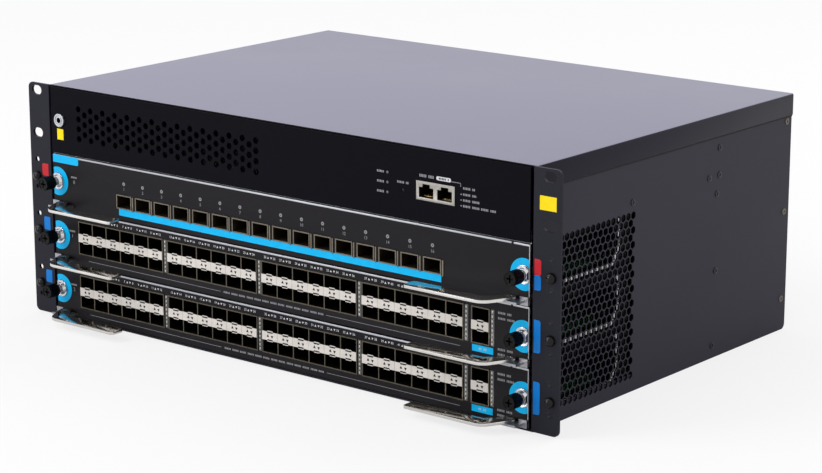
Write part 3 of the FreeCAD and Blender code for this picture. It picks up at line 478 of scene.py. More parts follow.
def makeCover():
    low, high = nodeBox("top_cover")
    sheet = startBox("coverSheet", *zip(low, high))
    pickFaces(sheet, lambda c, n: n.z < -0.5 or abs(n.y) > 0.5)
    bpy.ops.mesh.delete(type="FACE")
    leaveEdit()
    roundEdges(sheet, lambda p: near(p.z, high[2]) and near(abs(p.x), high[0]), cover["bend"])
    applyModifier(sheet, "SOLIDIFY", thickness=cover["sheet"] * mm, offset=-1)
    softEdges(sheet, cover["soft"])
    finishPiece(sheet, "chassis", coverSheenPaint, "top_cover")
    # painted shade: the side flanges of the cover take the darker copy of its paint
    takeFinish(sheet, flangeShadePaint, lambda c, n: abs(n.x) > 0.7)
    takeFinish(sheet, inkAndShadowBlack, lambda c, n: n.y < -0.7)  # painted shadow: the cover's front edge is painted black for the shadow gap over the front panel
    for side, word in sideNames.items():
        across = sorted(side * (high[0] - inset) for inset in cover["seam"])
        # painted shadow: a black strip under each flange edge stands for the shaded seam between cover and side
        # wall
        seam = startBox(f"coverSeamShadow_{word}", across, (low[1], high[1]),
                        (low[2] - cover["seamDrop"], low[2] + cover["seamTuck"]))
        softEdges(seam, cover["seamSoft"], 1)
        finishPiece(seam, "chassis", inkAndShadowBlack)


def hexField(name, first, axis, runStep, rowStep, runs, rows, flats, depth):
    # six-sided cutters in two sets, the second in the gaps of the first
    sets = []
    for shift in (0, 1):
        centre = [f + shift * (a / 2 + b) for f, a, b in zip(first, runStep, rowStep)]
        cutter = startRound(name, centre, flats / sqrt(3), depth, 6, axis, pi / 2)
        repeatAlong(cutter, runs - shift, runStep)
        repeatAlong(cutter, rows - shift, [2 * s for s in rowStep])
        sets.append(cutter)
    return joinAll(name, sets)


grille = dict(start=30.5, low=12.0, pitch=5.8, flats=4.95, depth=4.0, columns=15, rowPairs=12, corner=4.0,
              rim=(9.0, 5.0))


def makeSideWall(side):
    node = f"side_wall_{sideNames[side]}"
    low, high = nodeBox(node)
    wall = startBox(f"sideWall_{sideNames[side]}", *zip(low, high))
    roundCorners(wall, "yz", [high[1]], [low[2]], grille["corner"], 6)
    pitch = grille["pitch"]
    first = ((low[0] + high[0]) / 2, frontY + grille["start"], low[2] + grille["low"])
    cutOut(wall, hexField("grilleHoles", first, "X", (0, pitch, 0), (0, 0, pitch * sqrt(3) / 2),
                          grille["columns"], grille["rowPairs"], grille["flats"], grille["depth"]))
    finishPiece(wall, "chassis", wallPaint, node, smooth=20)
    rimY, rimZ = grille["rim"]
    # painted shade: the walls of the hex holes take the darker paint so the holes read as shaded
    takeFinish(wall, grilleHoleShade, lambda c, n: abs(n.x) < 0.5 and low[1] + rimY < c.y < high[1] - rimY
               and low[2] + rimZ < c.z < high[2] - rimZ)


vents = dict(left=-189.3, low=138.4, pitch=7.3, columnStep=6.21, hole=4.4, rows=4, columns=15)
fascia = dict(sheet=1.5, lip=12.0, soft=0.2, drop=1.1, portGap=0.2,
              roundHoles=(("ground_socket", 3.6, 32), ("reset_button", 1.26, 20)))  # radius and sides
lamp = dict(count=3, radius=1.0, round=0.35, hole=1.05)


def lampSpots():  # across and up, lowest first
    low, high = nodeBox("status_lights")
    step = (high[2] - low[2] - 2 * lamp["radius"]) / (lamp["count"] - 1)
    return [((low[0] + high[0]) / 2, low[2] + lamp["radius"] + n * step) for n in range(lamp["count"])]


def makeFrontPanel():
    low, high = nodeBox("front_panel")
    sheet = fascia["sheet"]
    top = high[2] - fascia["drop"]
    plate = startBox("frontFascia", (low[0], high[0]), (low[1], low[1] + sheet), (low[2], top))
    coverUnder = top - cover["sheet"]
    for level in (coverUnder, coverUnder - sheet):
        splitAt(plate, (0, 0, level), (0, 0, 1))
    pickFaces(plate, lambda c, n: n.y > 0.5 and coverUnder - sheet < c.z < coverUnder)
    pushIn((0, fascia["lip"] - sheet, 0))  # return under the cover
    leaveEdit()
    softEdges(plate, fascia["soft"])
    cutOut(plate, hexField("ventHoles", (vents["left"], frontY, vents["low"]), "Y",
                           (0, 0, vents["pitch"]), (vents["columnStep"], 0, 0),
                           vents["rows"], vents["columns"], vents["hole"], through))
    portLow, portHigh = nodeBox("console_ports")
    gap = fascia["portGap"]
    cutOut(plate, startBox("consoleHole", (portLow[0] - gap, portHigh[0] + gap), about(frontY, through),
                           (portLow[2] - gap, portHigh[2] + gap)))
    for node, radius, sides in fascia["roundHoles"]:
        x, z = nodeMiddle(node)[::2]
        cutOut(plate, startRound("roundHole", (x, frontY, z), radius, through, sides))
    for x, z in lampSpots():
        cutOut(plate, startRound("lampHole", (x, frontY, z), lamp["hole"], through, 20))
    finishPiece(plate, "chassis", frontShadePaint, "front_panel", smooth=20)


ear = dict(sheet=2.0, corner=4.0, soft=0.3, flangeTop=159.3, slotWidth=7.0, slotLength=10.0, slotPlace=232.55,
           slotLevels=(169.7, 137.95), hole=4.2, holePlace=234.5, holeLow=15.0, holeStep=20.5, holeCount=6)


def startSlot(centre):  # a round cutter pulled out sideways
    cutter = startRound("rackSlot", centre, ear["slotWidth"] / 2, through, 28, turn=pi / 28)
    for sign in (-1, 1):
        pickPoints(cutter, lambda p: (p.x - centre[0]) * sign > 0)
        moveBy((sign * (ear["slotLength"] - ear["slotWidth"]) / 2, 0, 0))
    return cutter


def makeEar(side):
    node = f"rack_ear_{sideNames[side]}"
    low, high = nodeBox(node)
    inner, outer = sorted((abs(low[0]), abs(high[0])))
    sheet = ear["sheet"]
    middle = low[1] + sheet / 2
    plate = startBox(f"rackEar_{sideNames[side]}", (low[0], high[0]), (low[1], low[1] + sheet),
                     (low[2], high[2]))
    roundCorners(plate, "xz", [side * outer], (low[2], high[2]), ear["corner"], 6)
    across = sorted((side * inner, side * (inner + sheet)))
    flange = startBox("earFlange", across, (middle, high[1]), (low[2], ear["flangeTop"]))
    softEdges(cutOut(plate, flange, "UNION"), ear["soft"])
    for level in ear["slotLevels"]:
        cutOut(plate, startSlot((side * ear["slotPlace"], middle, level)))
    lowest = (side * ear["holePlace"], middle, ear["holeLow"])
    holes = startRound("earHoles", lowest, ear["hole"] / 2, through, 20)
    cutOut(plate, repeatAlong(holes, ear["holeCount"], (0, 0, ear["holeStep"])))
    finishPiece(plate, "chassis", earPaint, node, smooth=20)


makeCover()
makeFrontPanel()
for side in sideNames:
    makeSideWall(side)
    makeEar(side)
print("shell made")


# carried-over nodes keep their form and take a finish

def paintNodes(material, slot, *names):
    for name in names:
        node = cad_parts[name]
        node.data.materials.clear()
        node.data.materials.append(material)


paintNodes(zincSheet, "zinc_steel", "mid_deck", "board_standoffs")
# painted shade: the card cages behind the side grilles take the near-black zinc
paintNodes(cageShadeZinc, "zinc_steel", "card_cage_left", "card_cage_right")
paintNodes(boardGreen, "board_green", "backplane", "control_board", *[f"module_{k}_board" for k in modules])
paintNodes(blackPlastic, "dark_plastic", "backplane_sockets", "reset_switch", "fan_frames", "fan_rotor_1",
           "fan_rotor_2")
paintNodes(pivotZinc, "zinc_steel", *[f"module_{k}_pivots" for k in modules])
print("carried-over nodes finished")


# painted highlight: bright zinc lips round the windows of the card cage stand in for the lit window edges

lip = dict(width=2.2, sheet=0.4, low=10.5, high=46.5, front=22.0, back=97.0, corner=8.0, top=4.0, clear=1.5)


def startWindow(name, x, grow):
    y = (frontY + lip["front"] - grow, frontY + lip["back"] + grow)
    z = (slotZ[0] + lip["low"] - grow, slotZ[0] + lip["high"] + grow)
    block = startBox(name, x, y, z)
    roundCorners(block, "yz", y, z, lip["corner"], 1)
    return block


def makeWindowLips():
    cageHigh = nodeBox("card_cage_right")[1]
    for side, word in sideNames.items():
        outer = side * cageHigh[0]
        first = startWindow("windowGlintLip", sorted((outer, outer + side * lip["sheet"])), lip["width"])
        cutOut(first, startWindow("windowHole", about(outer, through), 0))
        glintLips = withCopies(first, [(0, 0, foot - slotZ[0]) for foot in slotZ[1:]])
        for foot, part in zip(slotZ, glintLips):
            level = min(foot + lip["high"] - lip["top"], cageHigh[2] - lip["clear"])
            sliceOff(part, (0, 0, level), (0, 0, 1))
        # painted highlight: the lips are bright zinc while the cage behind them is painted near black
        finishPiece(joinAll(f"windowGlintLips_{word}", glintLips), "chassis", zincSheet, smooth=20)


makeWindowLips()
print("window lips made")


# line modules: panels with a bare upper edge

trim = dict(start=0.6, rise=1.15, proud=0.12, depth=1.0, edge=0.5, edgeShort=0.4, over=0.02,
            notch=(203.0, 204.8), soft=0.1, panelSoft=0.3)


def makeModulePanel(k):
    node = f"module_{k}_panel"
    low, high = nodeBox(node)
    panel = softCopy(node, f"modulePanel_{k}", trim["panelSoft"])
    finishPiece(panel, f"module_{k}", modulePaint, node, smooth=15)
    depth = (frontY - trim["proud"], frontY + trim["depth"])
    strip = startBox(f"moduleTrim_{k}", (low[0] + trim["start"], high[0]), depth,
                     (high[2] - trim["rise"], high[2] + trim["over"]))
    edge = startBox("trimEdge", (high[0] - trim["edge"], high[0] + trim["over"]), depth,
                    (low[2] + trim["edgeShort"], high[2] - trim["edgeShort"]))
    cutOut(strip, edge, "UNION")
    cutOut(strip, startBox("trimNotch", trim["notch"], about(frontY, through), about(high[2], through)))
    finishPiece(softEdges(strip, trim["soft"]), f"module_{k}", bareEdge)


for k in modules:
    makeModulePanel(k)
print("module panels made")


# port cages

cage = dict(wall=0.8, portDepth=42.0, mouthEdge=0.02, portPitch=14.25, columns=6, stackPitch=90.5,
            stacks=4, band=4.4)
single = dict(count=16, width=15.05, flange=1.2, flangeOut=1.15, flangeProud=0.45, flangeShort=0.3, tab=1.6,
              tabProud=0.5, tabDrop=0.9, tabRise=0.5, tabTip=0.35, sunk=0.2, soft=0.1)
cageWall, portPitch, stackPitch = cage["wall"], cage["portPitch"], cage["stackPitch"]
singleLow, singleHigh = nodeBox("module_0_cages")
stackLow, stackHigh = nodeBox("module_1_cages")
singlePitch = (singleHigh[0] - singleLow[0] - single["width"]) / (single["count"] - 1)
stackWidth = cage["columns"] * portPitch + cageWall
stackRise = stackHigh[2] - stackLow[2]
mouthRise = (stackRise - cage["band"]) / 2 - cageWall
pairLeft = stackHigh[0] - portPitch - cageWall
portMiddle = (portPitch + cageWall) / 2  # from the left side of a cage to the middle of its first port


def pressMouths(block, columns, rows):  # cut the front into cells and push the mouths in
    for edge in sorted({e for span in columns for e in span}):
        splitAt(block, (edge, 0, 0), (1, 0, 0))
    for edge in sorted({e for span in rows for e in span}):
        splitAt(block, (0, 0, edge), (0, 0, 1))
    front = min(corner[1] for corner in block.bound_box) / mm

    def isMouth(centre, normal):
        across = any(a < centre.x < b for a, b in columns)
        up = any(a < centre.z < b for a, b in rows)
        return normal.y < -0.5 and near(centre.y, front) and across and up

    pickFaces(block, isMouth)
    insetBy(cage["mouthEdge"], apart=True)
    pushIn((0, cage["portDepth"], 0))
    leaveEdit()
    return block


def finishCages(block, k, shell, inner, top, smooth):  # bare zinc on top, seen when the module is out
    finishPiece(block, f"module_{k}", shell, f"module_{k}_cages", smooth)
    # painted shade: faces deeper than 1 mm inside the mouths take the dark inner finish
    darkInside(block, inner, depth=1)
    takeFinish(block, zincSheet, lambda c, n: n.z > 0.9 and near(c.z, top))


def makeSingleCages():
    low, high = singleLow, singleHigh
    right = low[0] + single["width"]
    block = startBox("singleCages", (low[0], right), (low[1], high[1]), (low[2], high[2]))
    pressMouths(block, [(low[0] + cageWall, right - cageWall)], [(low[2] + cageWall, high[2] - cageWall)])
    middle, back = right + single["flangeOut"], frontY + single["sunk"]
    flange = startBox("cageFlange", about(middle, single["flange"]), (frontY - single["flangeProud"], back),
                      (low[2] + single["flangeShort"], high[2] - single["flangeShort"]))
    tab = startBox("cageTab", about(middle, single["tab"]), (frontY - single["tabProud"], back),
                   (low[2] - single["tabDrop"], low[2] + single["tabRise"]))
    pickPoints(tab, lambda p: p.z < low[2])
    bpy.ops.transform.resize(value=(single["tabTip"], 1, 1), center_override=scaled((middle, frontY, 0)))
    leaveEdit()
    softEdges(joinAll("singleCages", [block, flange, tab]), single["soft"], 1)
    repeatAlong(block, single["count"], (singlePitch, 0, 0))
    finishCages(block, 0, nickelCage, cageInnerShade, high[2], smooth=35)


def startStack(name, left, columns, foot):
    block = startBox(name, (left, left + columns * portPitch + cageWall), (stackLow[1], stackHigh[1]),
                     (foot, foot + stackRise))
    across = [(left + c * portPitch + cageWall, left + (c + 1) * portPitch) for c in range(columns)]
    lower = foot + cageWall
    upper = lower + mouthRise + cage["band"]
    return pressMouths(block, across, [(z, z + mouthRise) for z in (lower, upper)])


bandCell = dict(gap=0.08, rise=6.2, proud=0.2, sheet=0.3, tab=5.0, tabRise=0.75, soft=0.06, mark=1.3,
                markOut=1.9, markSheet=0.16, slit=0.95, slitInset=0.35, slitSunk=0.1)


def makeBand(name, left, foot, body, columns):  # light strip between the two rows of mouths
    middle = foot + stackRise / 2
    front = stackLow[1] - bandCell["proud"]
    depth = (front, front + bandCell["sheet"])
    rise = bandCell["rise"]
    tabX = about(left + portMiddle, bandCell["tab"])
    plate = startBox(name, (left + bandCell["gap"], left + portPitch - bandCell["gap"]), depth,
                     about(middle, rise))
    cutOut(plate, startBox("bandTab", tabX, depth, about(middle, rise + 2 * bandCell["tabRise"])), "UNION")
    softEdges(plate, bandCell["soft"], 1)
    repeatAlong(plate, columns, (portPitch, 0, 0))
    finishPiece(plate, body, bandFilm)
    marks = []
    for side, turn in ((-1, 0), (1, pi)):
        place = (left + portMiddle + side * bandCell["markOut"], front, middle)
        marks.append(startRound("bandArrow", place, bandCell["mark"], bandCell["markSheet"], 3, turn=turn))
        level = middle + side * (rise / 2 - bandCell["slitInset"])
        slitDepth = (front - bandCell["markSheet"] / 2, front + bandCell["slitSunk"])
        marks.append(startBox("bandSlit", tabX, slitDepth, about(level, bandCell["slit"])))
    marks = repeatAlong(joinAll(f"{name}_marks", marks), columns, (portPitch, 0, 0))
    finishPiece(marks, body, inkAndShadowBlack)


fingers = dict(width=2.9, gap=0.55, short=0.3, sheet=0.4, soft=0.1, bump=1.1, bumpRise=1.7, bumpProud=0.55,
               bumpSoft=0.3, count=8)


def makeFingers(name, right, foot, body):  # spring strip that seals a cage against the panel
    left = right + fingers["gap"]
    low, high = foot + fingers["short"], foot + stackRise - fingers["short"]
    strip = startBox(name, (left, left + fingers["width"]), about(frontY, fingers["sheet"]), (low, high))
    finishPiece(softEdges(strip, fingers["soft"], 1), body, stripMetal)
    step = (high - low) / fingers["count"]
    bump = startBox(f"{name}_bumps", about(left + fingers["width"] / 2, fingers["bump"]),
                    (frontY - fingers["bumpProud"], frontY), about(low + step / 2, fingers["bumpRise"]))
    softEdges(bump, fingers["bumpSoft"], 3)
    finishPiece(repeatAlong(bump, fingers["count"], (0, 0, step)), body, bareEdge)


def makeStackModule(k):
    body = f"module_{k}"
    foot = nodeBox(f"module_{k}_cages")[0][2]
    shifts = [s * stackPitch for s in range(cage["stacks"])]
    first = startStack(f"stackCages_{k}", stackLow[0], cage["columns"], foot)
    blocks = withCopies(first, [(shift, 0, 0) for shift in shifts[1:]])
    blocks.append(startStack("pairCage", pairLeft, 1, foot))
    finishCages(joinAll(f"stackCages_{k}", blocks), k, portShell, portShadeDark, foot + stackRise, smooth=20)
    for s, shift in enumerate(shifts):
        left = stackLow[0] + shift
        makeBand(f"stackBand_{k}_{s}", left, foot, body, cage["columns"])
        makeFingers(f"fingerStrip_{k}_{s}", left + stackWidth, foot, body)
    makeBand(f"pairBand_{k}", pairLeft, foot, body, 1)
    makeFingers(f"fingerStrip_{k}_pair", stackHigh[0], foot, body)


makeSingleCages()
for k in modules[1:]:
    makeStackModule(k)
print("port cages made")


# parts on the boards, seen when a module is pulled out; depths are from the front plane

sink = dict(places=(-92.0, 52.0), depth=(84.0, 140.0), span=56.0, base=3.5, fin=1.3, finRise=10.5, fins=12,
            sunk=0.2, soft=0.15)
chip = dict(size=13.0, rise=1.5, first=-172.0, pitch=18.0, rows=(66.0, 150.0), count=20, soft=0.2)
can = dict(radius=4.0, rise=10.5, first=-60.0, pitch=11.0, depth=171.0, count=12, rim=0.8, dish=0.3, soft=0.3)
coil = dict(size=11.0, rise=6.5, first=128.0, pitch=15.0, rows=(92.0, 108.0, 124.0), count=4, soft=0.6)


def startSinks(top):  # finned heat sinks
    one, other = sink["places"]
    left, seat = one - sink["span"] / 2, top + sink["base"]
    depth = shifted(sink["depth"], frontY)
    base = startBox("boardSinks", (left, left + sink["span"]), depth, (top, seat))
    fins = startBox("sinkFins", (left, left + sink["fin"]), depth,
                    (seat - sink["sunk"], seat + sink["finRise"]))
    repeatAlong(fins, sink["fins"], ((sink["span"] - sink["fin"]) / (sink["fins"] - 1), 0, 0))
    first = softEdges(joinAll("boardSinks", [base, fins]), sink["soft"], 1)
    return repeatAlong(first, 2, (other - one, 0, 0))


def startBlocks(name, plan, top):  # rows of square packages
    rows = []
    for depth in plan["rows"]:
        block = startBox(name, (plan["first"], plan["first"] + plan["size"]),
                         (frontY + depth, frontY + depth + plan["size"]), (top, top + plan["rise"]))
        softEdges(block, plan["soft"])
        rows.append(repeatAlong(block, plan["count"], (plan["pitch"], 0, 0)))
    return joinAll(name, rows)


def startCans(top):  # upright capacitors
    place = (can["first"], frontY + can["depth"], top + can["rise"] / 2)
    body = startRound("boardCans", place, can["radius"], can["rise"], 24, "Z")
    pickFaces(body, lambda c, n: n.z > 0.9)
    insetBy(can["rim"])
    pushIn((0, 0, -can["dish"]))
    leaveEdit()
    softEdges(body, can["soft"])
    return repeatAlong(body, can["count"], (can["pitch"], 0, 0))


def makeBoardParts():
    top = nodeBox("module_0_board")[1][2]
    parts = ((startSinks(top), "boardSinks_{}", bareEdge, "zinc_steel"),
             (startBlocks("boardChips", chip, top), "boardChips_{}", blackPlastic, "dark_plastic"),
             (startCans(top), "boardCans_{}", zincSheet, "zinc_steel"),
             (startBlocks("boardCoils", coil, top), "boardCoils_{}", coilGrey, "dark_plastic"))
    for piece, name, material, slot in parts:
        copyToModules(piece, name, "module_{}", material)


makeBoardParts()
print("board parts made")


# captive thumbscrews

knob = dict(radius=4.9, length=9.5, reach=15.5, flutes=20, groove=0.35, grooveEdge=0.1, rim=1.1, recess=0.5,
            cross=5.2, crossWidth=1.2, crossDepth=2.2, soft=0.15)
neck = dict(radius=2.3, tip=14.0, tipRound=0.8, collar=(3.6, 3.0), collarRise=1.2)
ring = dict(radius=10.7, inner=6.4, sheet=0.18, cut=0.55)
ferrule = dict(radius=6.2, sheet=0.8, rim=0.5, dish=0.35, step=0.9, rise=2.3, taper=0.8, gap=0.25, soft=0.2)
knobFront = frontY - knob["reach"]
knobBack = knobFront + knob["length"]


def cutCross(piece, x, z, front, width, span, depth):  # cross recess for a driver
    for wide, tall in ((span, width), (width, span)):
        cutOut(piece, startBox("crossArm", about(x, wide), (front - 1, front + depth), about(z, tall)))


def startKnob(x, z):
    sides = 2 * knob["flutes"]
    piece = startRound("thumbKnob", (x, (knobFront + knobBack) / 2, z), knob["radius"], knob["length"], sides)

    def isGroove(c, n):  # every other side
        sector = int((atan2(c.z - z, c.x - x) + 2 * pi) / (2 * pi / sides))
        return abs(n.y) < 0.5 and sector % 2 == 0

    pickFaces(piece, isGroove)
    insetBy(knob["grooveEdge"], apart=True)
    bpy.ops.transform.shrink_fatten(value=-knob["groove"] * mm)
    leaveEdit()
    pressFaces(piece, lambda c, n: n.y < -0.9 and near(c.y, knobFront), (knob["rim"], knob["recess"]))
    softEdges(piece, knob["soft"], 1)
    cutCross(piece, x, z, knobFront + knob["recess"], knob["crossWidth"], knob["cross"], knob["crossDepth"])
    return piece


def startNeck(x, z):
    end = frontY + neck["tip"]
    shaft = startRound("screwNeck", (x, (knobBack + end) / 2, z), neck["radius"], end - knobBack, 28)
    roundEdges(shaft, lambda p: near(p.y, end), neck["tipRound"], 2)
    wide, narrow = neck["collar"]
    rise = neck["collarRise"]
    collar = startRound("screwCollar", (x, knobBack + rise / 2, z), wide, rise, 28, tip=narrow)
    return joinAll("screwNeck", [shaft, collar])


def flatSide(disc, side):  # cut flat where the panel ends
    sliceOff(disc, (side * (panelHalf - ring["cut"]), 0, 0), (side, 0, 0))
    return disc


def startRing(x, z, side):  # label ring
    disc = startRound("ringLabel", (x, frontY - ring["sheet"] / 2, z), ring["radius"], ring["sheet"], 64)
    cutOut(disc, startRound("ringHole", (x, frontY, z), ring["inner"], through, 48))
    return flatSide(disc, side)


def startFerrule(x, z, side):  # bright stepped cone that holds the screw
    cone = startRound("ferrule", (x, frontY - ferrule["sheet"] / 2, z), ferrule["radius"], ferrule["sheet"], 48)
    pickFaces(cone, lambda c, n: n.y < -0.9)
    insetBy(ferrule["rim"])
    pushIn((0, ferrule["dish"], 0))
    insetBy(ferrule["step"])
    pushIn((0, -ferrule["rise"], 0))
    bpy.ops.transform.resize(value=(ferrule["taper"], 1, ferrule["taper"]),
                             center_override=scaled((x, frontY - ferrule["rise"], z)))
    leaveEdit()
    cutOut(cone, startRound("ferruleHole", (x, frontY, z), neck["radius"] + ferrule["gap"], through))
    return softEdges(flatSide(cone, side), ferrule["soft"])


def makeThumbscrews():
    z = slotZ[0] + slotPitch / 2
    for side, word in sideNames.items():
        x = nodeMiddle(f"module_0_screw_{word}")[0]
        screw = "module_{}_screw_" + word
        parts = ((startKnob(x, z), "thumbKnob_{}_", screw, knobPlastic, "dark_plastic", screw),
                 (startNeck(x, z), "screwNeck_{}_", screw, bareEdge, "zinc_steel", None),
                 (startRing(x, z, side), "ringLabel_{}_", "module_{}", cyanFilm, None, None),
                 (startFerrule(x, z, side), "ferrule_{}_", "module_{}", chromeRing, "zinc_steel", None))
        for piece, name, body, material, slot, node in parts:
            copyToModules(piece, name + word, body, material, node)


makeThumbscrews()
print("thumbscrews made")


# ejector levers

lever = dict(grip=12.0, gripInset=18.5, arm=7.0, bend=6.0, tipRound=2.5, soft=0.35, pivotInset=12.5,
             pivotReach=5.0, eye=4.7, eyeSteps=14, hole=2.06)


def plateFrom(name, outline, low, high):  # flat plate from an outline in plan
    curve = bpy.data.curves.new(name, "CURVE")
    curve.dimensions = "2D"
    curve.fill_mode = "BOTH"
    curve.extrude = (high - low) / 2 * mm
    line = curve.splines.new("POLY")
    line.points.add(len(outline) - 1)
    line.use_cyclic_u = True
    for point, (x, y) in zip(line.points, outline):
        point.co = (x * mm, y * mm, 0, 1)
    selectOnly(newObject(name, curve))
    bpy.ops.object.convert(target="MESH")
    piece = bpy.context.object
    piece.location = (0, 0, (low + high) / 2 * mm)
    tidyNormals(applyPlace(piece))
    return piece


def startLever():
    low, high = nodeBox("module_0_lever_right")
    pivotX = panelHalf - lever["pivotInset"]
    pivotY = frontY - lever["pivotReach"]
    outerX = panelHalf - lever["gripInset"]
    gripBack = low[1] + lever["grip"]
    turns = [pi * n / lever["eyeSteps"] for n in range(lever["eyeSteps"] + 1)]
    eye = [(pivotX + lever["eye"] * cos(a), pivotY + lever["eye"] * sin(a)) for a in turns]
    outline = [(low[0], low[1]), (outerX, low[1]), *eye, (outerX - lever["arm"], gripBack), (low[0], gripBack)]
    plate = plateFrom("leverPlate", outline, low[2], high[2])
    roundCorners(plate, "xy", [outerX], [low[1]], lever["bend"], 6)
    roundCorners(plate, "xy", [low[0]], (gripBack, low[1]), lever["tipRound"], 4)
    pivot = (pivotX, pivotY, (low[2] + high[2]) / 2)
    cutOut(plate, startRound("pivotHole", pivot, lever["hole"], through, axis="Z"))
    return softEdges(plate, lever["soft"])


def makeLevers():
    plate = startLever()
    for k in modules:
        for side, word in sideNames.items():
            node = f"module_{k}_lever_{word}"
            twin = copyTo(plate, f"leverPlate_{k}_{word}", (0, 0, slotZ[k] - slotZ[0]), mirror=side < 0)
            finishPiece(twin, node, nickelBright, node)
    dropPiece(plate)


makeLevers()
print("levers made")


# ear studs, sockets, lamps and reset pin

dome = dict(radius=3.5, skirt=3.6, skirtRise=1.0, skirtRound=0.3, foot=3.12)


def startDome(x, z, back, front):
    seat = back - dome["skirtRise"]
    deselectAll()
    bpy.ops.mesh.primitive_uv_sphere_add(segments=32, ring_count=16, radius=dome["radius"] * mm)
    ball = bpy.context.object
    ball.scale = (1, (seat - front) / dome["radius"], 1)
    ball.location = scaled((x, seat, z))
    sliceOff(applyPlace(ball), (0, seat, 0), (0, 1, 0))
    skirt = startRound("studSkirt", (x, (seat + back) / 2, z), dome["skirt"], dome["skirtRise"])
    roundEdges(skirt, lambda p: near(p.y, seat), dome["skirtRound"], 2)
    return joinAll("earStuds", [ball, skirt])


def makeEarStuds():
    low, high = nodeBox("ear_studs")
    place = high[0] - dome["skirt"]
    first = startDome(place, low[2] + dome["foot"], high[1], low[1])
    shifts = [((side - 1) * place, 0, k * slotPitch) for side in sideNames for k in modules]
    domes = withCopies(first, [shift for shift in shifts if any(shift)])
    finishPiece(joinAll("earStuds", domes), "chassis", glossBlack, "ear_studs")


earth = dict(rim=4.9, rimDepth=1.5, lip=1.2, dish=0.5, bush=0.9, barrel=3.5, bore=2.0, boreDepth=11.0,
             soft=0.12)


def makeEarthSocket():
    low, high = nodeBox("ground_socket")
    x, z = nodeMiddle("ground_socket")[::2]
    deep = earth["rimDepth"]
    socket = startRound("earthSocket", (x, low[1] + deep / 2, z), earth["rim"], deep, 40)
    pressFaces(socket, lambda c, n: n.y > 0.9, (earth["rim"] - earth["barrel"], high[1] - low[1] - deep))
    flat = earth["rim"] - earth["lip"] - earth["bush"] - earth["bore"]
    pressFaces(socket, lambda c, n: n.y < -0.9 and near(c.y, low[1]), (earth["lip"], earth["dish"]),
               (earth["bush"], -earth["dish"]), (flat, earth["boreDepth"]))
    softEdges(socket, earth["soft"])
    finishPiece(socket, "chassis", bareEdge, "ground_socket")
    # painted shade: the bore and the inside of the socket take a dark finish
    darkInside(socket, portShadeDark, depth=0.5)


jack = dict(pitch=15.2, contacts=8, contactPitch=1.02, contactSize=0.42, start=3.0, run=9.0, level=2.2,
            sheet=0.4, bendFrom=6.0, bendRise=2.4, soft=0.2)


def makeConsole():
    low, high = nodeBox("console_ports")
    block = softCopy("console_ports", "consoleBezel", jack["soft"])
    finishPiece(block, "chassis", jackShell, "console_ports", smooth=30)
    # the jack openings take a dark finish deeper than 1 mm: partly the jack's own black inside, partly painted
    # shade
    darkInside(block, portShadeDark, depth=1)
    start, level = frontY + jack["start"], low[2] + jack["level"]
    row = jack["contactPitch"] * (jack["contacts"] - 1)
    reeds = []
    for side in sideNames:
        first = (low[0] + high[0] + side * jack["pitch"] - row) / 2
        reed = startBox("consoleReeds", about(first, jack["contactSize"]), (start, start + jack["run"]),
                        (level, level + jack["sheet"]))
        pickPoints(reed, lambda p: p.y > frontY + jack["bendFrom"])
        moveBy((0, 0, jack["bendRise"]))
        reeds.append(repeatAlong(reed, jack["contacts"], (jack["contactPitch"], 0, 0)))
    finishPiece(joinAll("consoleReeds", reeds), "chassis", goldContact)


def makeLamps():
    low, high = nodeBox("status_lights")
    spots = lampSpots()
    x, z = spots[0]
    guide = startRound("statusLamps", (x, (low[1] + high[1]) / 2, z), lamp["radius"], high[1] - low[1], 20)
    roundEdges(guide, lambda p: near(p.y, low[1]), lamp["round"], 3)
    repeatAlong(guide, lamp["count"], (0, 0, spots[1][1] - z))
    finishPiece(guide, "chassis", lampLens, "status_lights")


reset = dict(radius=1.2, round=0.3, short=1.0, collar=2.3, collarRise=2.0)


def makeResetPin():
    low, high = nodeBox("reset_button")
    x, z = nodeMiddle("reset_button")[::2]
    length = high[1] - low[1] - reset["short"]
    pin = startRound("resetPin", (x, low[1] + length / 2, z), reset["radius"], length, 24)
    roundEdges(pin, lambda p: near(p.y, low[1]), reset["round"], 3)
    rise = reset["collarRise"]
    collar = startRound("resetCollar", (x, high[1] - rise / 2, z), reset["collar"], rise, 24)
    finishPiece(joinAll("resetPin", [pin, collar]), "reset", blackPlastic, "reset_button")


makeEarStuds()
makeEarthSocket()
makeConsole()
makeLamps()
makeResetPin()
print("front fittings made")


# labels and print

film = dict(sheet=0.12, ink=0.06, sunk=0.05, lift=0.05, letters=(0.9, 0.65, 1.0, 0.7, 0.85), letterGap=0.4,
            word=6, letterScale=1.4, over=0.03, soft=0.02)


def addLabel(name, x, z, body, material, corner=0.0, side=1, lift=0.0):  # corners rounded on one side
    label = startBox(name, x, (frontY - film["sheet"] - lift, frontY + film["sunk"]), z)
    edge = max(x) if side > 0 else min(x)
    roundCorners(label, "xz", [edge], z if corner else (), corner, 5)
    finishPiece(softEdges(label, film["soft"], 1), body, material)


def addText(words, x, z, height, lift=film["lift"]):  # lettering that faces the front
    deselectAll()
    bpy.ops.object.text_add(location=scaled((x, frontY - lift, z)), rotation=(pi / 2, 0, 0))
    letters = bpy.context.object.data
    letters.body = words
    letters.size = height * film["letterScale"] * mm
    letters.align_x = letters.align_y = "CENTER"
    letters.extrude = film["lift"] * mm
    letters.resolution_u = 2
    bpy.ops.object.convert(target="MESH")
    return applyPlace(bpy.context.object)


def inkBox(x, z):
    return startBox("inkBox", x, (frontY - film["ink"], frontY + film["ink"] / 2), z)


def inkDisc(x, z, radius, sides, turn=0.0):
    return startRound("inkDisc", (x, frontY - film["lift"], z), radius, 2 * film["lift"], sides, turn=turn)


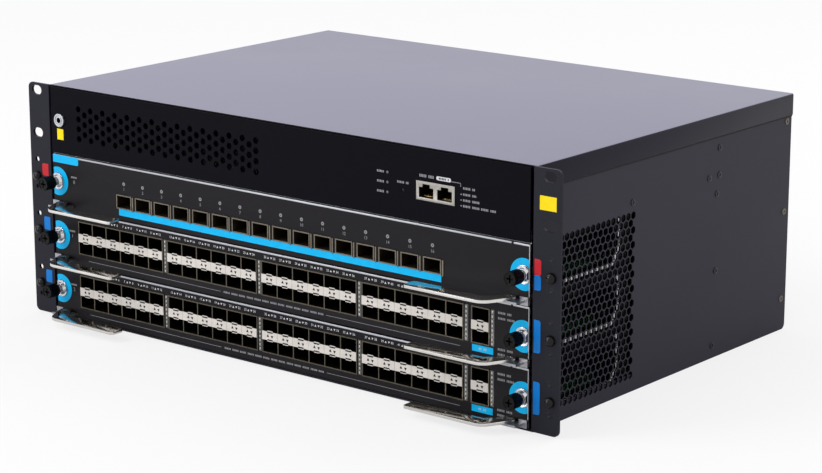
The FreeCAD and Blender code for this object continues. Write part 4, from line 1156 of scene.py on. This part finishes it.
def inkLine(x, z, length, rise=1.3):  # letter-sized blocks in place of words
    blocks = []
    place = x
    count = 0
    while place < x + length:
        width = film["letters"][count % len(film["letters"])]
        if count % film["word"] < film["word"] - 1:
            blocks.append(inkBox((place, place + width), about(z, rise)))
        place += width + film["letterGap"]
        count += 1
    return blocks


def finishInk(name, marks, body, material):
    finishPiece(joinAll(name, marks), body, material)


earFilms = {1: dict(x=(221.2, 226.4), corner=1.6, films=((105.0, 115.7, redFilm), (95.3, 105.0, blueFilm),
                                                         (54.1, 75.9, blueFilm), (13.2, 35.0, blueFilm))),
            -1: dict(x=(-229.3, -222.9), corner=1.2, films=((106.0, 115.2, redFilm), (65.0, 74.9, blueFilm),
                                                            (24.7, 34.2, blueFilm)))}
notices = dict(earNotice=((224.8, 237.7), (148.0, 157.2)), earthNotice=((-212.0, -205.6), (135.4, 143.4)))
bayNotice = dict(x=(-217.3, -191.0), drop=(6.4, 0.6), corner=1.2)


def makeNotices():
    for side, plan in earFilms.items():
        for number, (low, high, material) in enumerate(plan["films"]):
            addLabel(f"earLabel_{sideNames[side]}_{number}", plan["x"], (low, high), "chassis", material,
                     plan["corner"], side)
    for name, (x, z) in notices.items():
        addLabel(name, x, z, "chassis", yellowFilm)
    levels = [bayTop - drop for drop in bayNotice["drop"]]
    addLabel("bayNotice", bayNotice["x"], levels, "module_0", cyanFilm, bayNotice["corner"], lift=film["sheet"])


slotMark = dict(bars=25.2, run=6.5, numberShift=3.0, number=21.5, size=2.8)
singlesPrint = dict(number=23.6, size=2.2, lamp=27.6, lampRadius=1.3, lampHole=0.45, slotMark=-199.0,
                    strip=(-150.0, 146.4), stripLevel=(3.9, 8.8))
stackPrint = dict(number=36.5, size=1.7, numberOut=4.2, arrow=0.95, arrowOut=1.4, arrowRise=0.2,
                  slotMark=-202.5, line=(4.7, 4.98), lines=((-183.0, -51.0), (47.0, 162.0)),
                  legend=(-48.0, 4.9, 92.0), notes=192.8, noteRise=1.5,
                  noteRuns=((32.6, 10.0), (28.9, 17.5), (8.2, 12.0), (4.8, 14.2)), pair=(171.9, 189.1),
                  pairLevel=(3.5, 8.0), pairNumbers=(180.5, 5.7, 1.8))


def slotInk(k, x):  # bars over the slot's number
    number = addText(str(k), x + slotMark["numberShift"], slotZ[k] + slotMark["number"], slotMark["size"])
    return inkLine(x, slotZ[k] + slotMark["bars"], slotMark["run"]) + [number]


def makeSinglesPrint():
    foot = slotZ[0]
    first = singleLow[0] + single["width"] / 2
    spots = [first + n * singlePitch for n in range(single["count"])]
    marks = [addText(str(n + 1), x, foot + singlesPrint["number"], singlesPrint["size"])
             for n, x in enumerate(spots)]
    level = foot + singlesPrint["lamp"]
    dot = inkDisc(first, level, singlesPrint["lampRadius"], 20)
    cutOut(dot, startRound("dotHole", (first, frontY, level), singlesPrint["lampHole"], through, 12))
    marks.append(repeatAlong(dot, single["count"], (singlePitch, 0, 0)))
    finishInk("singlesPrint", marks + slotInk(0, singlesPrint["slotMark"]), "module_0", greyInk)
    levels = shifted(singlesPrint["stripLevel"], foot)
    addLabel("singlesStrip", singlesPrint["strip"], levels, "module_0", cyanFilm)


def makeStackPrint(k):
    body, foot = f"module_{k}", slotZ[k]
    first, z = stackLow[0] + portMiddle, foot + stackPrint["number"]
    columns, stacks = cage["columns"], cage["stacks"]
    marks = []
    for side, turn in ((-1, 0), (1, pi)):  # odd numbers on the left, even ones on the right
        arrow = inkDisc(first + side * stackPrint["arrowOut"], z + side * stackPrint["arrowRise"],
                        stackPrint["arrow"], 3, turn)
        repeatAlong(arrow, columns, (portPitch, 0, 0))
        marks.append(repeatAlong(arrow, stacks, (stackPitch, 0, 0)))
        for n in range(columns * stacks):
            x = first + n // columns * stackPitch + n % columns * portPitch + side * stackPrint["numberOut"]
            marks.append(addText(str(2 * n + 1 + (side > 0)), x, z, stackPrint["size"]))
    finishInk(f"stackNumbers_{k}", marks, body, whiteInk)
    levels = shifted(stackPrint["line"], foot)
    lines = [inkBox(x, levels) for x in stackPrint["lines"]]
    start, level, length = stackPrint["legend"]
    lines += inkLine(start, foot + level, length) + slotInk(k, stackPrint["slotMark"])
    for level, length in stackPrint["noteRuns"]:
        lines += inkLine(stackPrint["notes"], foot + level, length, stackPrint["noteRise"])
    finishInk(f"stackLegend_{k}", lines, body, greyInk)
    levels = shifted(stackPrint["pairLevel"], foot)
    addLabel(f"pairLabel_{k}", stackPrint["pair"], levels, body, cyanFilm)
    x, level, size = stackPrint["pairNumbers"]
    last = 2 * columns * stacks
    numbers = addText(f"{last + 1}  {last + 2}", x, foot + level, size, film["sheet"] + film["over"])
    finishInk(f"pairNumbers_{k}", [numbers], body, whiteInk)


fasciaPrint = dict(rise=1.5, lampBars=(-7.8, 5.8), resetBars=(109.5, 149.6, 9.0),  # place, level, run
                   notes=((152.8, 9.0), (148.7, 10.5), (144.9, 14.5), (141.1, 26.0)), noteShift=6.5,
                   bulletShift=4.9, bullet=0.5, bulletLow=141.1, bulletStep=3.75, bullets=3)
portPrint = dict(level=156.4, title=(-13.5, 12.0, 1.9), words=(2.6, 7.6, 1.2),  # from the ports' middle
                 pill=(0.5, 12.5), pillLevel=(155.1, 157.7), pillCorner=1.1,
                 leaders=(((12.4, 20.6), (155.5, 155.9)), ((20.2, 20.6), (153.4, 155.9))))


def makeFasciaPrint():
    middle, right = nodeMiddle("console_ports")[0], nodeBox("console_ports")[1][0]
    rise, level = fasciaPrint["rise"], portPrint["level"]
    shift, length = fasciaPrint["lampBars"]
    lampLeft = nodeBox("status_lights")[0][0]
    lines = []
    for x, z in lampSpots():
        lines += inkLine(lampLeft + shift, z, length, rise)
    lines += inkLine(*fasciaPrint["resetBars"], rise)
    shift, length, tall = portPrint["title"]
    lines += inkLine(middle + shift, level, length, tall)
    for z, length in fasciaPrint["notes"]:
        lines += inkLine(right + fasciaPrint["noteShift"], z, length, rise)
    lines += [inkBox(shifted(x, middle), z) for x, z in portPrint["leaders"]]
    spot = (right + fasciaPrint["bulletShift"], frontY - film["ink"] / 2, fasciaPrint["bulletLow"])
    bullet = startRound("noteBullet", spot, fasciaPrint["bullet"], 2 * film["lift"], 12)
    lines.append(repeatAlong(bullet, fasciaPrint["bullets"], (0, 0, fasciaPrint["bulletStep"])))
    finishInk("fasciaPrint", lines, "chassis", greyInk)
    across = shifted(portPrint["pill"], middle)
    pill = inkBox(across, portPrint["pillLevel"])
    roundCorners(pill, "xz", across, portPrint["pillLevel"], portPrint["pillCorner"], 5)
    finishInk("consolePill", [pill], "chassis", whiteInk)
    shift, length, tall = portPrint["words"]
    words = joinAll("pillWords", inkLine(middle + shift, level, length, tall))
    words.location = scaled((0, -film["lift"], 0))  # in front of the pill
    finishInk("pillWords", [applyPlace(words)], "chassis", inkAndShadowBlack)


makeNotices()
makeSinglesPrint()
for k in modules[1:]:
    makeStackPrint(k)
makeFasciaPrint()
print("labels and print made")


# screws in the shell

screwHead = dict(radius=2.4, rise=0.3, sunk=0.4, round=0.2, cross=3.2, crossWidth=0.7, crossDepth=0.25,
                 dark=((110.7, 131.4), (204.0, 131.2), (216.9, 131.7), (216.6, 151.1), (214.5, 118.6),
                       (215.2, 63.4), (213.4, 9.3)),  # from the front plane, and up from the floor
                 bright=((305.5, 155.4), (305.5, 89.0), (305.5, 23.6)))


def startSideScrew(side, y, z):
    outer = side * nodeBox("side_wall_right")[1][0]
    face = outer + side * screwHead["rise"]
    head = startRound("sideScrew", ((outer + face) / 2, y, z), screwHead["radius"],
                      screwHead["rise"] + screwHead["sunk"], 28, "X")
    roundEdges(head, lambda p: p.x * side > outer * side, screwHead["round"], 2)
    span, width = screwHead["cross"], screwHead["crossWidth"]
    depth = sorted((face - side * screwHead["crossDepth"], face + side))
    for wide, tall in ((span, width), (width, span)):
        cutOut(head, startBox("crossArm", depth, about(y, wide), about(z, tall)))
    return head


def makeSideScrews():
    for side, word in sideNames.items():
        for name, material, kind in (("wallScrews", blackScrew, "dark"), ("rearScrews", nickelCage, "bright")):
            (y, z), *others = screwHead[kind]
            first = startSideScrew(side, frontY + y, z)
            heads = withCopies(first, [(0, b - y, c - z) for b, c in others])
            finishPiece(joinAll(f"{name}_{word}", heads), "chassis", material)


makeSideScrews()
print("shell screws made")


# rear: fan guards and power supplies

fanZ = nodeMiddle("fan_frames")[2]
rearY = nodeBox("base_tray")[1][1]
guard = dict(places=(-75.0, 75.0), hole=45.5, rings=(11.0, 20.0, 29.0, 38.0), wire=0.8, screwPlace=41.25,
             eye=2.6, head=3.3, headRise=1.8, ringLift=2.4)
rearScrew = dict(radius=2.8, rise=1.4,
                 places=((-205.0, 162.0), (-140.0, 162.0), (140.0, 162.0), (205.0, 162.0), (-205.0, 12.0),
                         (205.0, 12.0)))
rearCross = dict(round=0.5, width=0.8, reach=1.3, depth=1.0)


def makeRearWall():  # tray and rear wall, the fan holes made round
    tray = softCopy("base_tray", "baseTray", 0)
    for x in guard["places"]:
        cutOut(tray, startRound("fanHole", (x, rearY, fanZ), guard["hole"], through, 72))
    finishPiece(tray, "chassis", wallPaint, "base_tray", smooth=20)


def startLoop(radius, centre, steps):  # wire ring that faces the rear
    deselectAll()
    bpy.ops.mesh.primitive_torus_add(major_radius=radius * mm, minor_radius=guard["wire"] * mm,
                                     major_segments=steps, minor_segments=8, rotation=(pi / 2, 0, 0),
                                     location=scaled(centre))
    return applyPlace(bpy.context.object)


def startRearScrew(x, z, foot, radius, rise):
    head = startRound("rearHead", (x, foot + rise / 2, z), radius, rise, 28)
    roundEdges(head, lambda p: near(p.y, foot + rise), rearCross["round"], 3)
    cutCross(head, x, z, foot + rise, rearCross["width"], rearCross["reach"] * radius, rearCross["depth"])
    return head


def makeFanGuards():
    wire, reach = guard["wire"], guard["screwPlace"]
    left, right = guard["places"]
    seat, level = rearY + wire, rearY + guard["ringLift"] * wire
    wires = [startLoop(radius, (left, level, fanZ), 56) for radius in guard["rings"]]
    for turn in (pi / 4, 3 * pi / 4):
        bar = startRound("guardBar", (0, 0, 0), wire, 2 * (reach * sqrt(2) - guard["eye"]), 8, "X")
        bar.rotation_euler = (0, turn, 0)
        bar.location = scaled((left, seat, fanZ))
        wires.append(applyPlace(bar))
    corners = [(a * reach, 0, b * reach) for a in (-1, 1) for b in (-1, 1)]
    wires += [startLoop(guard["eye"], (left + a, seat, fanZ + b), 20) for a, _, b in corners]
    cross = joinAll("fanGuard_1", wires)
    head = startRearScrew(left, fanZ, seat, guard["head"], guard["headRise"])
    heads = joinAll("guardScrews_1", [copyTo(head, "spare", corner) for corner in corners])
    dropPiece(head)
    for name, piece, material in (("fanGuard", cross, chromeRing), ("guardScrews", heads, blackScrew)):
        for twin in (piece, copyTo(piece, f"{name}_2", (right - left, 0, 0))):
            finishPiece(twin, "chassis", material)


def makeRearScrews():
    (x, z), *others = rearScrew["places"]
    first = startRearScrew(x, z, rearY, rearScrew["radius"], rearScrew["rise"])
    heads = withCopies(first, [(a - x, 0, b - z) for a, b in others])
    finishPiece(joinAll("rearWallScrews", heads), "chassis", blackScrew)


intake = dict(shift=26.0, size=27.8, sheet=0.8, sunk=1.2, first=(-11.6, -10.0), pitch=4.0, columnStep=3.46,
              rows=6, columns=4, hole=3.2)
supplyParts = dict(case=(0.4, 2, supplyZinc, "zinc_steel", 30),  # soft edge, steps, finish, slot, smoothing
                   handle=(0.8, 3, blackPlastic, "dark_plastic", 35),
                   inlet=(0.3, 2, blackPlastic, "dark_plastic", 30),
                   latch=(0.25, 2, latchBlue, "latch_plastic", 30))


def makeSupply(word):
    name = f"psu_{word}"
    for part, (soft, steps, material, slot, smooth) in supplyParts.items():
        node = f"{name}_{part}"
        piece = softCopy(node, f"supply{part.capitalize()}_{word}", soft, steps)
        finishPiece(piece, node if part == "latch" else name, material, node, smooth)
    x, z = nodeMiddle(f"{name}_case")[::2]
    x += intake["shift"]
    y = nodeBox(f"{name}_case")[1][1] - intake["sunk"]
    mesh = startBox(f"supplyIntake_{word}", about(x, intake["size"]), about(y, intake["sheet"]),
                    about(z, intake["size"]))
    acrossFirst, upFirst = intake["first"]
    cutOut(mesh, hexField("intakeHoles", (x + acrossFirst, y, z + upFirst), "Y",
                          (0, 0, intake["pitch"]), (intake["columnStep"], 0, 0),
                          intake["rows"], intake["columns"], intake["hole"], through))
    finishPiece(mesh, name, supplyZinc)


makeRearWall()
makeFanGuards()
makeRearScrews()
for word in sideNames.values():
    makeSupply(word)
print("rear made")


# light, floor and camera

floor = dict(tint=tone(247, 247, 248), size=12.0, drop=0.0002, grain=300.0, glow=0.75, world=0.7)
lights = dict(keyLamp=((-1.2, -1.6, 1.8), (0, 0, 0.08), 1.4, 21),  # place, target and size in metres, watts
              rimLamp=((0.6, 1.4, 1.6), (0, 0, 0.17), 1.6, 12),
              sparkLamp=((-0.95, -1.75, 0.42), (0, -0.16, 0.08), 0.45, 7))
view = dict(place=(1130.6, -1399.9, 514.8), turn=(75.962, 0.033, 39.055), lens=110.7, sensor=36)


def makeFloor():  # pale paper that looks nearly white to the camera and keeps the shadow
    deselectAll()
    bpy.ops.mesh.primitive_plane_add(size=floor["size"], location=(0, 0, -floor["drop"]))
    ground = bpy.context.object
    ground.name = "studioFloor"
    material, tree, shader, place = startMaterial("floorPaper", 0.0, 0.8, 0.1)
    addTint(tree, addNoise(tree, place, floor["grain"]), shader, floor["tint"], 0.99, 1.0)
    glow = addNode(tree, "Emission", {}).outputs["Emission"]
    seen = addNode(tree, "LightPath", {}).outputs["Is Camera Ray"]
    share = addNode(tree, "Math", {0: seen, 1: floor["glow"]})
    share.operation = "MULTIPLY"
    blend = addNode(tree, "MixShader", {"Fac": share.outputs["Value"], 1: shader.outputs["BSDF"], 2: glow})
    feed(tree.nodes["Material Output"], {"Surface": blend.outputs["Shader"]})
    ground.data.materials.append(material)


def makeWorld():  # the backdrop looks white, the light it gives is softer
    world = bpy.data.worlds.new("studio")
    bpy.context.scene.world = world
    world.use_nodes = True
    tree = world.node_tree
    rays = addNode(tree, "LightPath", {}).outputs
    seen = rays["Is Camera Ray"]
    for kind in ("Is Glossy Ray", "Is Transmission Ray"):
        both = addNode(tree, "Math", {0: seen, 1: rays[kind]})
        both.operation = "ADD"
        both.use_clamp = True
        seen = both.outputs["Value"]
    level = addNode(tree, "MapRange", {"Value": seen, "To Min": floor["world"], "To Max": 1.0})
    feed(tree.nodes["Background"], {"Color": (1, 1, 1, 1), "Strength": level.outputs["Result"]})


def addLight(name, place, target, size, power):
    light = bpy.data.lights.new(name, "AREA")
    light.size = size
    light.energy = power
    holder = newObject(name, light)
    aim = [t - p for p, t in zip(place, target)]
    flat = sqrt(aim[0] ** 2 + aim[1] ** 2)
    holder.location = place
    holder.rotation_euler = (atan2(flat, -aim[2]), 0, atan2(aim[1], aim[0]) - pi / 2)
    holder.visible_camera = False


def makeCamera():
    lens = bpy.data.cameras.new("photoCamera")
    lens.lens = view["lens"]
    lens.sensor_width = view["sensor"]
    camera = newObject("photoCamera", lens)
    camera.location = scaled(view["place"])
    camera.rotation_euler = [radians(a) for a in view["turn"]]
    bpy.context.scene.camera = camera


makeFloor()
makeWorld()
for name, plan in lights.items():
    addLight(name, *plan)
makeCamera()
bpy.context.scene.view_settings.view_transform = "Standard"
print("stage made")
